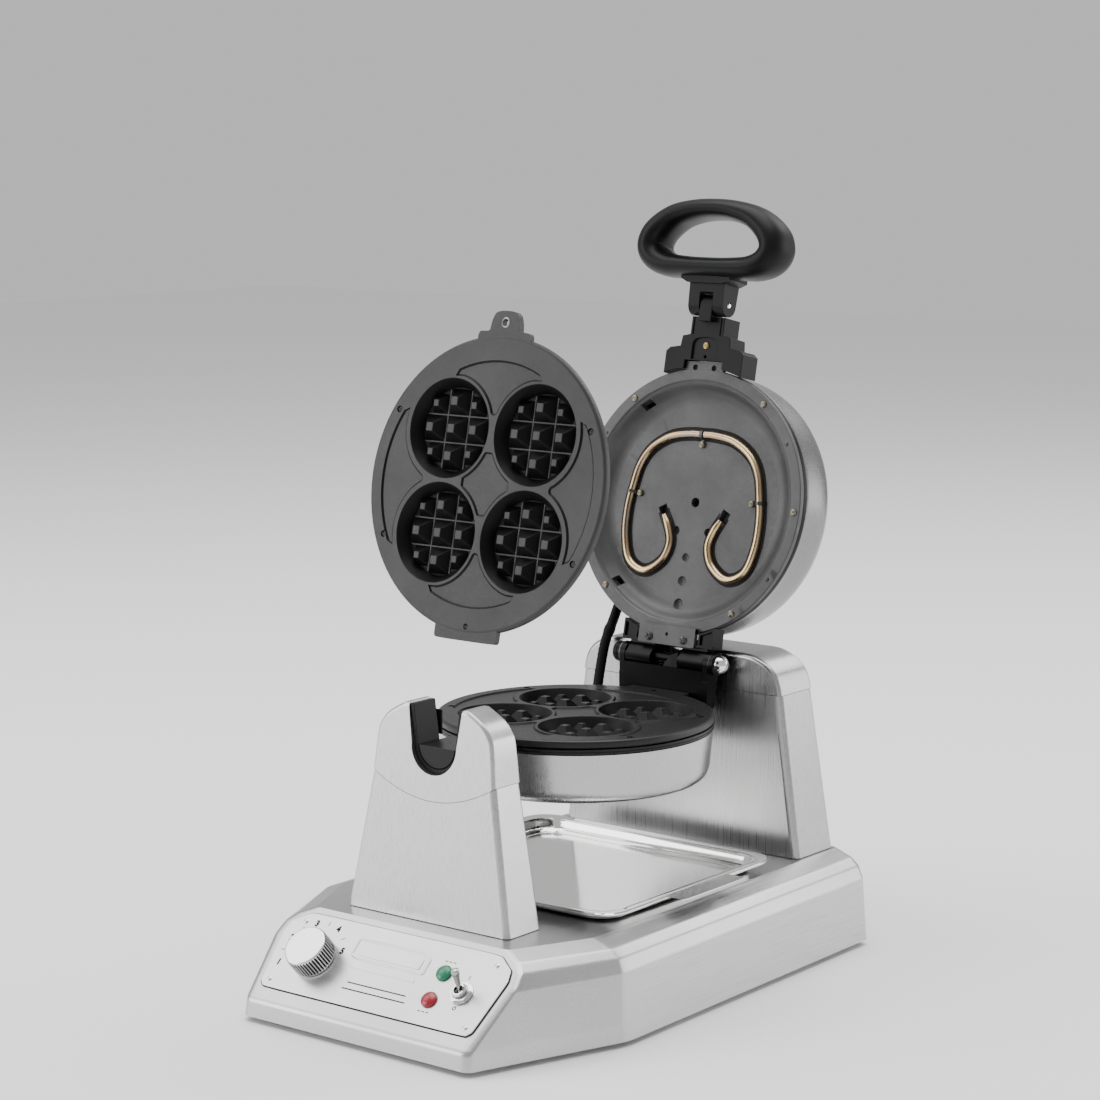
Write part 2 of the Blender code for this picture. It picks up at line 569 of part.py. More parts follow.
def head():
    low = SHELL_LOW_Z
    profile = ((0.1030, RIM_Z - GAP), (0.1005, low + 0.0110), (0.0990, low + 0.0050), (0.0950, low + 0.0012),
               (0.0890, low), (0.0200, low))
    add("lower_shell", cup(profile, 0.0012), WORLD, "steel")
    ring = ((0.0960, RIM_Z), (0.1036, RIM_Z), (0.1036, RIM_Z + 0.0036), (0.0960, RIM_Z + 0.0036))
    add("lower_rim", lathe(ring, SEG, True), WORLD, "casting")
    place = Matrix.Translation((0.0, 0.0, 0.0))
    pan_profile = ((0.0200, 0.1560), (0.0900, 0.1560), (0.0940, 0.1600), (0.0940, 0.1850), (0.0915, 0.1850),
                   (0.0900, 0.1680), (0.0860, 0.1655), (0.0200, 0.1655))
    item = add("lower_pan", lathe(pan_profile, SEG), place, "pan")
    lower = Matrix.Translation((0.0, 0.0, 0.1848)) @ Matrix.Rotation(math.pi, 4, "Z")
    channel = sweep(heater_path(-0.0150, 1, 0.0045), lambda i: (0.0072, 0.0072), Vector((0, 0, 1)), 6)
    boolean(item, add("lower_channel_cutter", channel, lower, None))
    tube = sweep(heater_path(-0.0160, 1), lambda i: (0.0038, 0.0038), Vector((0, 0, 1)), 6)
    add("lower_heater", tube, lower, "heater")
    turned = frame(Vector((0.0, 0.0, PLATE_TOP)), -SIDE, Vector((0.0, -1.0, 0.0)))
    plate("lower_plate", turned, "casting", True)
    count = 14
    arc = [(JOURNAL_R * math.cos(math.pi * i / count),
            FLIP_Z - max(0.0012, JOURNAL_R * math.sin(math.pi * i / count))) for i in range(count + 1)]
    item = add("front_journal", prism(arc, 0.1055, 0.1600), ALONG_Y, "casting")
    seat = block((-0.0300, -0.1235, 0.1904), (0.0300, -0.1000, 0.2100))
    boolean(item, add("journal_seat_cutter", seat, WORLD, None))
    yoke()
    shaft = ((0.0092, -0.1520), (0.0092, -0.1185))
    add("rear_shaft", lathe(shaft, 20), ALONG_Y @ Matrix.Translation((0.0, FLIP_Z, 0.0)), "zinc")


def yoke():
    """Foot, web and two ears that hold the hinge pin, in the y-z plane along x."""
    along_x = frame(Vector((0.0, 0.0, 0.0)), Vector((0.0, 1.0, 0.0)), Vector((0.0, 0.0, 1.0)))
    hy, hz = HINGE.y, HINGE.z
    body = prism([(0.1048, 0.1760), (0.1178, 0.1760), (0.1178, 0.2050), (0.1120, 0.2080), (0.1104, 0.2050),
                  (0.1104, 0.1900), (0.1048, 0.1895)], -0.0420, 0.0420)
    item = add("hinge_yoke", body, along_x, "plastic")
    ears = bmesh.new()
    radius = 0.0088
    arc = [(hy + radius * math.cos(math.pi * i / 8), hz + radius * math.sin(math.pi * i / 8)) for i in range(9)]
    for low, high in ((-0.0418, -0.0372), (0.0372, 0.0418)):
        prism([(0.1106, 0.1800), (0.1176, 0.1800), *arc], low, high, ears)
    boolean(item, add("yoke_ears_union", ears, along_x, None), "UNION")
    bore = bmesh.new()
    lathe(((0.0045, -0.0500), (0.0045, 0.0500)), 12, data=bore, x=hy, y=hz)
    boolean(item, add("yoke_bore_cutter", bore, along_x, None))
    pin = ((0.0040, -0.0470), (0.0040, 0.0500))
    pin_at = frame(HINGE, Vector((0.0, 1.0, 0.0)), Vector((0.0, 0.0, 1.0)))
    add("hinge_pin", lathe([(0.0080, -0.0505), (0.0080, -0.0425), (0.0040, -0.0425), (0.0040, 0.0480)], 14), pin_at,
        "plastic")
    nut = ((0.0044, 0.0425), (0.0085, 0.0425), (0.0085, 0.0470), (0.0072, 0.0490), (0.0060, 0.0525),
           (0.0035, 0.0545), (0.0010, 0.0550))
    inner = ((0.0010, 0.0490), (0.0044, 0.0490))
    add("hinge_nut", lathe([*inner, *nut], 16), pin_at, "chrome")


# ---- lid ----------------------------------------------------------------------------------
def lid():
    pan("upper_pan", LID, True)
    heater("upper_heater", LID)
    ring = ((0.0955, -0.0095), (0.1036, -0.0095), (0.1036, -0.0055), (0.0955, -0.0055))
    add("lid_rim", lathe(ring, SEG, True), LID, "plastic")
    profile = ((0.1030, -0.0100), (0.1000, -0.0390), (0.0985, -0.0450), (0.0945, -0.0485), (0.0880, -0.0500),
               (0.0200, -0.0500))
    inner = ((0.0200, -0.0488), (0.0876, -0.0488), (0.0936, -0.0475), (0.0972, -0.0444), (0.0988, -0.0388),
             (0.1018, -0.0100))
    add("lid_shell", lathe([*inner, *profile]), LID, "steel")
    for index, (x, y, turn) in enumerate(((0.0, 0.0480, 0.0), (-0.0530, 0.0020, 90.0), (0.0530, 0.0020, 90.0))):
        at = LID @ Matrix.Translation((x, y, 0.0)) @ Matrix.Rotation(math.radians(turn), 4, "Z")
        side = -1.0 if index == 1 else 1.0
        clip = block((-0.0040, -0.0040, -0.0110), (0.0040, 0.0040, -0.0098))
        if index:
            at = LID @ Matrix.Translation((x - side * 0.0020, y, 0.0))
        else:
            at = LID @ Matrix.Translation((x, y - 0.0070, 0.0))
        add(f"heater_clip_{index + 1}", clip, at, "zinc")
    bracket()
    neck()


def bracket():
    """Black block under the pan's tongue with two lugs round the hinge pin."""
    place = frame(HINGE, SIDE, UP)
    item = add("lid_bracket", block((-0.0425, 0.0105, -0.0080), (0.0425, 0.0165, 0.0035)), place, "plastic")
    lugs = bmesh.new()
    along_x = frame(HINGE, Vector((0.0, 1.0, 0.0)), Vector((0.0, 0.0, 1.0)))
    lean = along_x @ Matrix.Rotation(-LEAN, 4, "Z")
    radius = 0.0088
    arc = [(radius * math.cos(math.pi + math.pi * i / 8), radius * math.sin(math.pi + math.pi * i / 8))
           for i in range(9)]
    for low, high in ((-0.0366, -0.0130), (0.0130, 0.0366)):
        prism([*arc, (0.0078, 0.0120), (-0.0030, 0.0120), (-0.0030, 0.0085)], low, high, lugs)
    boolean(item, add("bracket_lugs_union", lugs, lean, None), "UNION")
    bore = lathe(((0.0045, -0.0500), (0.0045, 0.0500)), 12)
    boolean(item, add("bracket_bore_cutter", bore, along_x, None))


def neck():
    """Wings round the pan's edge, stepping up to the neck and the tongue that carries the fold pin."""
    clear = 0.1049
    arc = []
    for x in (0.0365, 0.0270, 0.0178):
        arc.append((x, math.sqrt(clear ** 2 - x ** 2)))
    half = [*arc, (0.0178, 0.1096)]
    top = [(0.0155, 0.1440), (0.0155, 0.1300), (0.0225, 0.1285), (0.0235, 0.1205), (0.0330, 0.1190), (0.0365, 0.1160)]
    outline = [*half, *[(-x, y) for x, y in reversed(half)], *[(-x, y) for x, y in reversed(top)], *top]
    item = add("handle_neck", prism(outline, -0.0180, 0.0030), LID, "plastic")
    count = 8
    round_end = [(FOLD_U + 0.0078 * math.sin(math.pi * i / count), FOLD_N - 0.0078 * math.cos(math.pi * i / count))
                 for i in range(count + 1)]
    side = frame(LID_AT, UP, OUT)
    tongue = prism([(0.1400, FOLD_N - 0.0078), *round_end, (0.1400, FOLD_N + 0.0078)], -0.0058, 0.0058)
    boolean(item, add("neck_tongue_union", tongue, side, None), "UNION")
    bore = bmesh.new()
    lathe(((0.0026, -0.0300), (0.0026, 0.0300)), 10, data=bore, x=FOLD_U, y=FOLD_N)
    cutter = add("fold_bore_cutter", bore, side, None)
    boolean(item, cutter)
    grip(side, cutter)


def grip(side, bore):
    """Forked stem and D-shaped loop that fold about the pin."""
    pivot = LID_AT + UP * FOLD_U + OUT * FOLD_N
    half = ((0.0, 0.1812), (0.0200, 0.1812), (0.0400, 0.1822), (0.0530, 0.1872), (0.0590, 0.1960), (0.0570, 0.2060),
            (0.0490, 0.2150), (0.0360, 0.2230), (0.0180, 0.2275))
    loop = [Vector((x, y, 0.0066)) for x, y in half]
    loop += [Vector((0.0, 0.2287, 0.0066))]
    loop += [Vector((-x, y, 0.0066)) for x, y in reversed(half[1:])]
    path = []
    total = len(loop)
    for index in range(total):
        a, b, c, d = (loop[(index + k) % total] for k in (-1, 0, 1, 2))
        for step in range(2):
            t = step / 2
            path.append(0.5 * (2 * b + (c - a) * t + (2 * a - 5 * b + 4 * c - d) * t * t
                               + (3 * b - a - 3 * c + d) * t ** 3))
    thick = [0.0072 + 0.0022 * min(1.0, abs(p.x) / 0.055) ** 2 for p in path]
    data = sweep(path, lambda i: (thick[i], 0.0185), Vector((0, 0, 1)), 10, closed=True)
    item = add("handle_grip", data, LID, "plastic", pivot)
    stem = bmesh.new()
    count = 8
    arc = [(FOLD_U - 0.0088 * math.sin(math.pi * i / count), FOLD_N - 0.0088 * math.cos(math.pi * i / count))
           for i in range(count + 1)]
    prism([*arc, (0.1705, FOLD_N + 0.0100), (0.1705, FOLD_N - 0.0100)], -0.0165, 0.0165, stem)
    boolean(item, add("grip_stem_union", stem, side, None), "UNION")
    collar = prism([(-0.0165, 0.1690), (0.0165, 0.1690), (0.0228, 0.1720), (0.0228, 0.1800), (-0.0228, 0.1800),
                    (-0.0228, 0.1720)], FOLD_N - 0.0110, FOLD_N + 0.0140)
    boolean(item, add("grip_collar_union", collar, LID, None), "UNION")
    slot = block((-0.0064, 0.1400, -0.0300), (0.0064, 0.1625, 0.0300))
    boolean(item, add("grip_slot_cutter", slot, LID, None))
    boolean(item, bore)
    pin = bmesh.new()
    lathe(((0.0022, -0.0162), (0.0022, 0.0162)), 10, data=pin, x=FOLD_U, y=FOLD_N)
    add("fold_pin", pin, side, "chrome", pivot)


def conduit():
    """Flexible conduit from the lid's shell down to the lower shell."""
    points = ((-0.0645, 0.1402, 0.2516), (-0.0652, 0.1340, 0.2400), (-0.0655, 0.1235, 0.2230),
              (-0.0640, 0.1150, 0.2030), (-0.0610, 0.1060, 0.1850), (-0.0588, 0.0960, 0.1720),
              (-0.0575, 0.0915, 0.1690))
    tube = sweep(smooth_path(points, 3), lambda i: (0.0041, 0.0041), Vector((1, 0, 0)), 8)
    add("conduit", tube, WORLD, "rubber")


def inlet():
    """Cable gland on the back and the terminal block inside the base."""
    at = ALONG_Y @ Matrix.Translation((0.070, 0.040, -BASE_REAR_Y - 0.0005))
    gland = ((0.0110, 0.0), (0.0110, -0.0060), (0.0075, -0.0090), (0.0075, -0.0180))
    add("cable_gland", lathe(gland, 16), at, "plastic")
    add("terminal_block", block((0.030, 0.060, 0.0070), (0.080, 0.085, 0.0260)), WORLD, "white")


base()
controls()
front_post()
rear_post()
tray()
head()
lid()
conduit()
inlet()
OVER = frame(UPPER_PLATE_AT, SIDE, UP)
plate("upper_plate", OVER, "casting", True)
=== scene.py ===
"""Looks of the rotary waffle maker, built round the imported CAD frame."""
import math
import bmesh
import bpy
from mathutils import Matrix, Vector


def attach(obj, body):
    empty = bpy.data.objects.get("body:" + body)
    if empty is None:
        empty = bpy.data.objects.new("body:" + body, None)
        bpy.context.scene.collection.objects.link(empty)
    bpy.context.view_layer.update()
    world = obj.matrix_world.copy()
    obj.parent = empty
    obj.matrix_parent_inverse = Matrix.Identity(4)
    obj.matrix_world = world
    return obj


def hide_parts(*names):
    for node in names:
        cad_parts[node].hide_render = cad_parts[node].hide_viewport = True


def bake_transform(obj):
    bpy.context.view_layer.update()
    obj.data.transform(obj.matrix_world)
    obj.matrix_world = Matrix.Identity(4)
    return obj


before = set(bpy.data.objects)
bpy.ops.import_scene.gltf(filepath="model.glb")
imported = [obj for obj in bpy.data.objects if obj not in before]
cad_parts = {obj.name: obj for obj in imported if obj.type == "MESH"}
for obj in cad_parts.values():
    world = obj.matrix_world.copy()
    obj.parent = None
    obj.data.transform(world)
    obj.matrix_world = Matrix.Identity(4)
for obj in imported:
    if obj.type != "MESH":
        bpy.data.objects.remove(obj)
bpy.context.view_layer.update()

# ---- driving dimensions -------------------------------------------------------------------
GAP = 0.0005
BEVEL_ANGLE = 38.0
ROUND = 160
CENTRE = Vector((0.0, 0.02156, 0.0))
DECK_Z = 0.0722
WALL = 0.0018
# base outline per level: z, front y, front half-width, bend y, bend half-width, rear half-width
BASE_LEVELS = (
    (0.0040, -0.2522, 0.1035, -0.1307, 0.1485, 0.1449),
    (0.0164, -0.2508, 0.1028, -0.1307, 0.1475, 0.1440),
    (0.0528, -0.2114, 0.1110, -0.1297, 0.1445, 0.1409),
    (0.0615, -0.2020, 0.1085, -0.1290, 0.1405, 0.1369),
    (0.0668, -0.1962, 0.1020, -0.1290, 0.1340, 0.1304),
    (0.0722, -0.1904, 0.0885, -0.1291, 0.1180, 0.1150),
)
BASE_REAR_Y = 0.1856
CORNER_FRONT = 0.035
CORNER_BEND = 0.040
CORNER_REAR = 0.022
BEND_TRIM = 0.0007
FOLD_R = 0.0026
PANEL_TOP = Vector((0.0, -0.1904, 0.0722))
PANEL_LOW = Vector((0.0, -0.2508, 0.0164))
PANEL_OUTLINE = (
    (-0.0870, 0.0055), (0.0870, 0.0055), (0.1010, 0.0150), (0.1035, 0.0244), (0.0975, 0.0660),
    (0.0935, 0.0700), (-0.0935, 0.0700), (-0.0975, 0.0660), (-0.1035, 0.0244), (-0.1010, 0.0150),
)
PANEL_FOOT = 0.0004
PANEL_TOP_Z = PANEL_FOOT + 0.0009
INK_LOW, INK_TOP = 0.00131, 0.00136
KNOB_AT = (-0.0615, 0.0405)
KNOB_R = 0.0168
KNOB_H = 0.0185
DIAL_AT = (-0.0680, 0.0378)
DIAL_R = 0.0260
DIAL_FIRST, DIAL_SWEEP = -117.0, 190.0
SWITCH_AT = (0.0733, 0.0405)
LAMP_X = 0.0504
LAMP_GREEN_D = 0.0286
LAMP_RED_D = 0.0505
LEVER_TILT = 24.0
# front post
FP_HALF_LOW, FP_HALF_SEAM = 0.0744, 0.0560
FP_FRONT_LOW, FP_FRONT_SEAM, FP_FRONT_TOP = -0.1730, -0.1650, -0.1610
FP_BACK = -0.1349
POST_WALL = 0.0020
FP_SEAM_Z, FP_SEAM_SAG = 0.1751, 0.0165
FP_TOP_Z = 0.2258
NOTCH_R, NOTCH_TOP_HALF = 0.0206, 0.0246
LINER_OUT, LINER_IN = 0.0202, 0.0172
LINER_BACK = -0.1365
LINER_FRONT = -0.1600
# rear post
RP_HALF_LOW, RP_HALF_SEAM = 0.1122, 0.0948
RP_FRONT = 0.1325
RP_BACK_LOW, RP_BACK_TOP = 0.1842, 0.1765
RP_SEAM_Z = 0.1976
RP_TOP_Z = 0.2268
SHAFT_BORE_R, SHAFT_BORE = 0.0145, (-0.1560, -0.1300)
# head
FLIP_Z = 0.1975
JOURNAL_R = 0.0165
PLATE_R = 0.1038
PLATE_TOP = 0.1958
PLATE_FLANGE = 0.0058
SHELL_LOW_Z = 0.1472
RIM_Z = 0.1856
# lid
HINGE = Vector((0.0, 0.1195, 0.2185))
PIN_BORE_R = 0.0045
LUG_R = 0.0088
LEAN = math.radians(12.24)
LID_U, LID_N = 0.1225, 0.0040
PAN_R = 0.1039
PAN_DEPTH = 0.0115
FOLD_U, FOLD_N = 0.1535, 0.0010
FOLD_BORE_R = 0.0026
GRIP_N, GRIP_DEEP = 0.0066, 0.0185
# drawn-off upper plate
UPPER_PLATE_AT = Vector((0.034, -0.1475, 0.3844))
# tray
TRAY_HALF = 0.1134
TRAY_FRONT, TRAY_REAR = -0.1080, 0.1030
TRAY_RIM_Z = 0.0816
# camera: place, degrees round and above the object, millimetres of lens
CAMERA_AT = Vector((1.2957, -1.65894, 0.6426))
CAMERA_TURN, CAMERA_PITCH = 38.147, 8.709
CAMERA_LENS = 94.917

# directions: the world's, and along and out of the open lid
SIDE = Vector((1.0, 0.0, 0.0))
REARWARD = Vector((0.0, 1.0, 0.0))
ABOVE = Vector((0.0, 0.0, 1.0))
UP = Vector((0.0, math.sin(LEAN), math.cos(LEAN)))
OUT = Vector((0.0, -math.cos(LEAN), math.sin(LEAN)))
LID_AT = HINGE + UP * LID_U + OUT * LID_N
PANEL_DOWN = (PANEL_LOW - PANEL_TOP).normalized()


def placed(origin, x_axis, y_axis):
    z_axis = x_axis.cross(y_axis)
    rows = Matrix((x_axis, y_axis, z_axis)).transposed().to_4x4()
    rows.translation = origin
    return rows


WORLD = Matrix.Identity(4)
LID = placed(LID_AT, SIDE, UP)
PANEL = placed(PANEL_TOP, SIDE, -PANEL_DOWN)
ALONG_Y = placed(Vector(), SIDE, ABOVE)
ALONG_X = placed(Vector(), REARWARD, ABOVE)
LOWER = placed(ABOVE * PLATE_TOP, -SIDE, -REARWARD)
OVER = placed(UPPER_PLATE_AT, SIDE, UP)
SIDE_ON = placed(LID_AT, UP, OUT)
AT_HINGE = placed(HINGE, REARWARD, ABOVE)


# ---- materials ----------------------------------------------------------------------------
class Paint:
    """A Principled material with helpers that wire procedural detail into it."""

    def __init__(self, name, colour, rough, metal=0.0, **extra):
        self.mat = bpy.data.materials.new(name)
        self.mat.use_nodes = True
        self.tree = self.mat.node_tree
        self.shader = self.tree.nodes["Principled BSDF"]
        self.shader.inputs["Base Color"].default_value = (*colour, 1.0)
        self.shader.inputs["Roughness"].default_value = rough
        self.shader.inputs["Metallic"].default_value = metal
        for key, value in extra.items():
            self.shader.inputs[key.replace("_", " ")].default_value = value
        self.coords = self.tree.nodes.new("ShaderNodeTexCoord")
        self.normal = None

    def noise(self, scale, stretch=(1, 1, 1), turn=(0, 0, 0), detail=3.0, rough=0.55, kind="NOISE"):
        mapping = self.tree.nodes.new("ShaderNodeMapping")
        mapping.inputs["Scale"].default_value = stretch
        mapping.inputs["Rotation"].default_value = turn
        self.tree.links.new(self.coords.outputs["Object"], mapping.inputs["Vector"])
        if kind == "NOISE":
            node = self.tree.nodes.new("ShaderNodeTexNoise")
            node.inputs["Detail"].default_value = detail
            node.inputs["Roughness"].default_value = rough
            out = node.outputs["Fac"]
        else:
            node = self.tree.nodes.new("ShaderNodeTexVoronoi")
            node.feature = "F1"
            out = node.outputs["Distance"]
        node.inputs["Scale"].default_value = scale
        self.tree.links.new(mapping.outputs["Vector"], node.inputs["Vector"])
        return out

    def ranged(self, value, low, high, first, last):
        node = self.tree.nodes.new("ShaderNodeMapRange")
        node.inputs["From Min"].default_value = low
        node.inputs["From Max"].default_value = high
        node.inputs["To Min"].default_value = first
        node.inputs["To Max"].default_value = last
        self.tree.links.new(value, node.inputs["Value"])
        return node.outputs["Result"]

    def mixed(self, factor, first, last):
        node = self.tree.nodes.new("ShaderNodeMix")
        node.data_type = "RGBA"
        for index, value in ((6, first), (7, last)):
            if isinstance(value, tuple):
                node.inputs[index].default_value = (*value, 1.0)
            else:
                self.tree.links.new(value, node.inputs[index])
        self.tree.links.new(factor, node.inputs[0])
        return node.outputs[2]

    def use(self, socket, value):
        self.tree.links.new(value, self.shader.inputs[socket])

    def bump(self, value, strength, depth):
        node = self.tree.nodes.new("ShaderNodeBump")
        node.inputs["Strength"].default_value = strength
        node.inputs["Distance"].default_value = depth
        self.tree.links.new(value, node.inputs["Height"])
        if self.normal is not None:
            self.tree.links.new(self.normal, node.inputs["Normal"])
        self.normal = node.outputs["Normal"]
        self.use("Normal", self.normal)


def brushed(name, along, tone=0.60, rough=0.30, turn=(0, 0, 0), depth=0.00004, grainy=1.0):
    """Brushed stainless: fine grain drawn out along one axis, with broad soft unevenness."""
    stretch = tuple(18.0 if axis == along else 1500.0 for axis in "XYZ")
    paint = Paint(name, (tone, tone, tone), rough, 1.0)
    grain = paint.noise(1.0, stretch, turn, 4.0, 0.65)
    cloud = paint.noise(9.0, (1, 1, 1), turn, 3.0)
    light = (min(1.0, tone * (1.0 + 0.08 * grainy)),) * 3
    dark = (tone * (1.0 - 0.11 * grainy),) * 3
    paint.use("Base Color", paint.mixed(paint.ranged(grain, 0.35, 0.65, 0.0, 1.0), dark, light))
    low = paint.ranged(grain, 0.3, 0.7, rough - 0.06 * grainy, rough + 0.08 * grainy)
    add = paint.tree.nodes.new("ShaderNodeMath")
    add.operation = "ADD"
    paint.tree.links.new(low, add.inputs[0])
    paint.tree.links.new(paint.ranged(cloud, 0.35, 0.65, -0.03, 0.05), add.inputs[1])
    paint.use("Roughness", add.outputs[0])
    paint.bump(grain, 0.35 * grainy, depth)
    return paint.mat


def polished(name, tone=0.78, rough=0.10, wave=0.00025):
    paint = Paint(name, (tone, tone, tone * 0.99), rough, 1.0)
    broad = paint.noise(16.0, detail=1.0)
    fine = paint.noise(420.0, detail=3.0)
    paint.use("Roughness", paint.ranged(fine, 0.3, 0.7, max(0.02, rough - 0.04), rough + 0.08))
    paint.bump(broad, 0.5, wave)
    return paint.mat


def cast(name, colour, rough=0.42, metal=0.35, grit=620.0, depth=0.00010, shine=0.5):
    """Cast and coated metal: fine grit, soft mottling and lighter worn patches, placed at random."""
    paint = Paint(name, colour, rough, metal, Specular_IOR_Level=shine)
    grain = paint.noise(grit, detail=4.0, rough=0.7)
    cloud = paint.noise(22.0, detail=4.0)
    light = tuple(min(1.0, c * 1.22) for c in colour)
    dark = tuple(c * 0.82 for c in colour)
    paint.use("Base Color", paint.mixed(paint.ranged(cloud, 0.35, 0.65, 0.0, 1.0), dark, light))
    paint.use("Roughness", paint.ranged(grain, 0.3, 0.7, rough - 0.07, rough + 0.10))
    paint.bump(grain, 0.35, depth)
    return paint.mat


def moulded(name, colour, rough=0.45, grit=900.0, depth=0.00008, shine=0.28):
    """Moulded plastic with a spark-eroded grain."""
    paint = Paint(name, colour, rough, 0.0, Specular_IOR_Level=shine)
    grain = paint.noise(grit, detail=3.0, rough=0.6)
    cloud = paint.noise(14.0, detail=2.0)
    light = tuple(c * 1.25 + 0.0008 for c in colour)
    paint.use("Base Color", paint.mixed(paint.ranged(cloud, 0.3, 0.7, 0.0, 1.0), colour, light))
    paint.use("Roughness", paint.ranged(cloud, 0.3, 0.7, rough - 0.05, rough + 0.07))
    paint.bump(grain, 0.30, depth)
    return paint.mat


def tempered(name):
    """Heater sheath: golden tube with brown and violet heat tint in soft bands."""
    paint = Paint(name, (0.62, 0.47, 0.26), 0.24, 1.0)
    band = paint.noise(22.0, detail=1.0)
    fine = paint.noise(60.0, detail=1.0)
    gold = (0.56, 0.42, 0.24)
    brown = (0.36, 0.26, 0.16)
    violet = (0.28, 0.23, 0.21)
    warm = paint.mixed(paint.ranged(band, 0.42, 0.60, 0.0, 1.0), gold, brown)
    paint.use("Base Color", paint.mixed(paint.ranged(band, 0.60, 0.72, 0.0, 0.7), warm, violet))
    paint.use("Roughness", paint.ranged(fine, 0.3, 0.7, 0.20, 0.27))
    return paint.mat


def lens(name, colour):
    paint = Paint(name, colour, 0.22, 0.0, Coat_Weight=0.25, Coat_Roughness=0.08)
    facets = paint.noise(900.0, kind="CELL")
    paint.use("Base Color", paint.mixed(paint.ranged(facets, 0.0, 0.9, 0.0, 1.0), colour,
                                        tuple(min(1.0, c * 1.9 + 0.002) for c in colour)))
    paint.bump(facets, 0.5, 0.0002)
    return paint.mat


STEEL_Z = brushed("steel_upright", "Z", 0.57, 0.28, grainy=0.9)
STEEL_Y = brushed("steel_lengthwise", "Y", 0.53, 0.30, grainy=0.8)
STEEL_BOWL = brushed("steel_bowl", "Z", 0.46, 0.28, grainy=0.5)
# Darker copy of the upright steel: painted shade on the rear post.
STEEL_REAR_SHADED = brushed("steel_rear_post_painted_shade", "Z", 0.40, 0.25, grainy=0.8)
STEEL_X = brushed("steel_panel", "X", 0.70, 0.36, grainy=0.45)
# The lid dome's steel, toned far darker than the other steel: painted shade on the dome.
STEEL_LID_SHADED = brushed("steel_lid_painted_shade", "Z", 0.22, 0.22, turn=(math.pi / 2 - LEAN, 0, 0))
CHROME_BRUSHED = brushed("knob_steel", "X", 0.80, 0.24, grainy=0.6)
MIRROR = polished("steel_polished", 0.80, 0.09)
CHROME = polished("chrome_plate", 0.82, 0.06, 0.0001)
LEVER_STEEL = polished("lever_plate", 0.40, 0.10, 0.0001)
# The plates share one coating in two tones: the upper plate's copy is lighter than the lower plate's, painted
# light on the upper plate and painted shade on the lower.
GRID = cast("nonstick_casting", (0.012, 0.012, 0.0127), 0.36, 0.0, shine=0.30)
GRID_UPPER_LIT = cast("nonstick_casting_upper_painted_light", (0.030, 0.030, 0.0312), 0.40, 0.0, shine=0.30)
# Darker copy of the plate coating, laid in the cavities, on the pocket slopes and on the peg sides as painted
# shade.
GRID_SHADE_PAINT = cast("nonstick_recess_painted_shade", (0.0035, 0.0035, 0.0038), 0.42, 0.0, shine=0.14)
RIM = cast("rim_casting", (0.008, 0.008, 0.0085), 0.34, 0.0, shine=0.25)
PAN = cast("heater_pan_grey", (0.062, 0.062, 0.064), 0.40, 0.20, 480.0, 0.00004, 0.35)
BLACK = moulded("plastic_black", (0.0020, 0.0020, 0.0022), 0.30, shine=0.12)
GRIP = moulded("plastic_grip", (0.0028, 0.0028, 0.0030), 0.40, 700.0, 0.0001, 0.16)
LINER = moulded("plastic_liner", (0.008, 0.008, 0.0085), 0.40, shine=0.2)
RUBBER = moulded("rubber_black", (0.004, 0.004, 0.004), 0.55, 500.0, 0.00015, 0.12)
HEATER = tempered("heater_sheath")
ZINC = cast("zinc_plate", (0.34, 0.34, 0.33), 0.34, 0.95, 700.0, 0.00004)
BRASS = cast("brass_screw", (0.45, 0.33, 0.14), 0.32, 0.95, 700.0, 0.00004)
BRASS_PALE = cast("screw_zinc_yellow", (0.26, 0.23, 0.17), 0.30, 0.95, 700.0, 0.00004)
SCREW = cast("screw_head", (0.07, 0.07, 0.07), 0.34, 0.8, 700.0, 0.00004)
# Besides the panel seam and two screw heads, this dark paint plugs the lid pan's openings as painted shade.
DARK = moulded("recess_dark", (0.006, 0.006, 0.006), 0.6)
INK = moulded("etched_ink", (0.012, 0.012, 0.013), 0.6, shine=0.1)
WHITE = moulded("ceramic_white", (0.60, 0.60, 0.57), 0.5)
GREEN = lens("lens_green", (0.0005, 0.115, 0.052))
RED = lens("lens_red", (0.200, 0.0015, 0.010))


# ---- mesh kit -----------------------------------------------------------------------------
def loft(rings, closed=False, data=None):
    """Skin over rings of equally many points: capped at both ends, or closed to a ring of rings."""
    data = data or bmesh.new()
    rows = [[data.verts.new(point) for point in ring] for ring in rings]
    count = len(rows[0])
    pairs = list(zip(rows[:-1], rows[1:]))
    if closed:
        pairs.append((rows[-1], rows[0]))
    for low, high in pairs:
        for index in range(count):
            after = (index + 1) % count
            data.faces.new((low[index], low[after], high[after], high[index]))
    if not closed:
        data.faces.new(rows[0])
        data.faces.new(rows[-1])
    return data


def prism(outline, low, high, data=None):
    return loft([[(x, y, low) for x, y in outline], [(x, y, high) for x, y in outline]], data=data)


def circle(radius, z, count, x=0.0, y=0.0, turn=0.0):
    step = math.tau / count
    return [(x + radius * math.cos(turn + step * i), y + radius * math.sin(turn + step * i), z)
            for i in range(count)]


def arc_points(cx, cy, radius, first, last, count):
    turns = [math.radians(first + (last - first) * i / count) for i in range(count + 1)]
    return [(cx + radius * math.cos(turn), cy + radius * math.sin(turn)) for turn in turns]


def lathe(profile, count, closed=False, data=None, x=0.0, y=0.0):
    return loft([circle(radius, z, count, x, y) for radius, z in profile], closed, data)


def rod(radius, low, high, count, **more):
    return lathe(((radius, low), (radius, high)), count, **more)


def flat_ring(inner, outer, low, high, count, **more):
    return lathe(((inner, low), (outer, low), (outer, high), (inner, high)), count, True, **more)


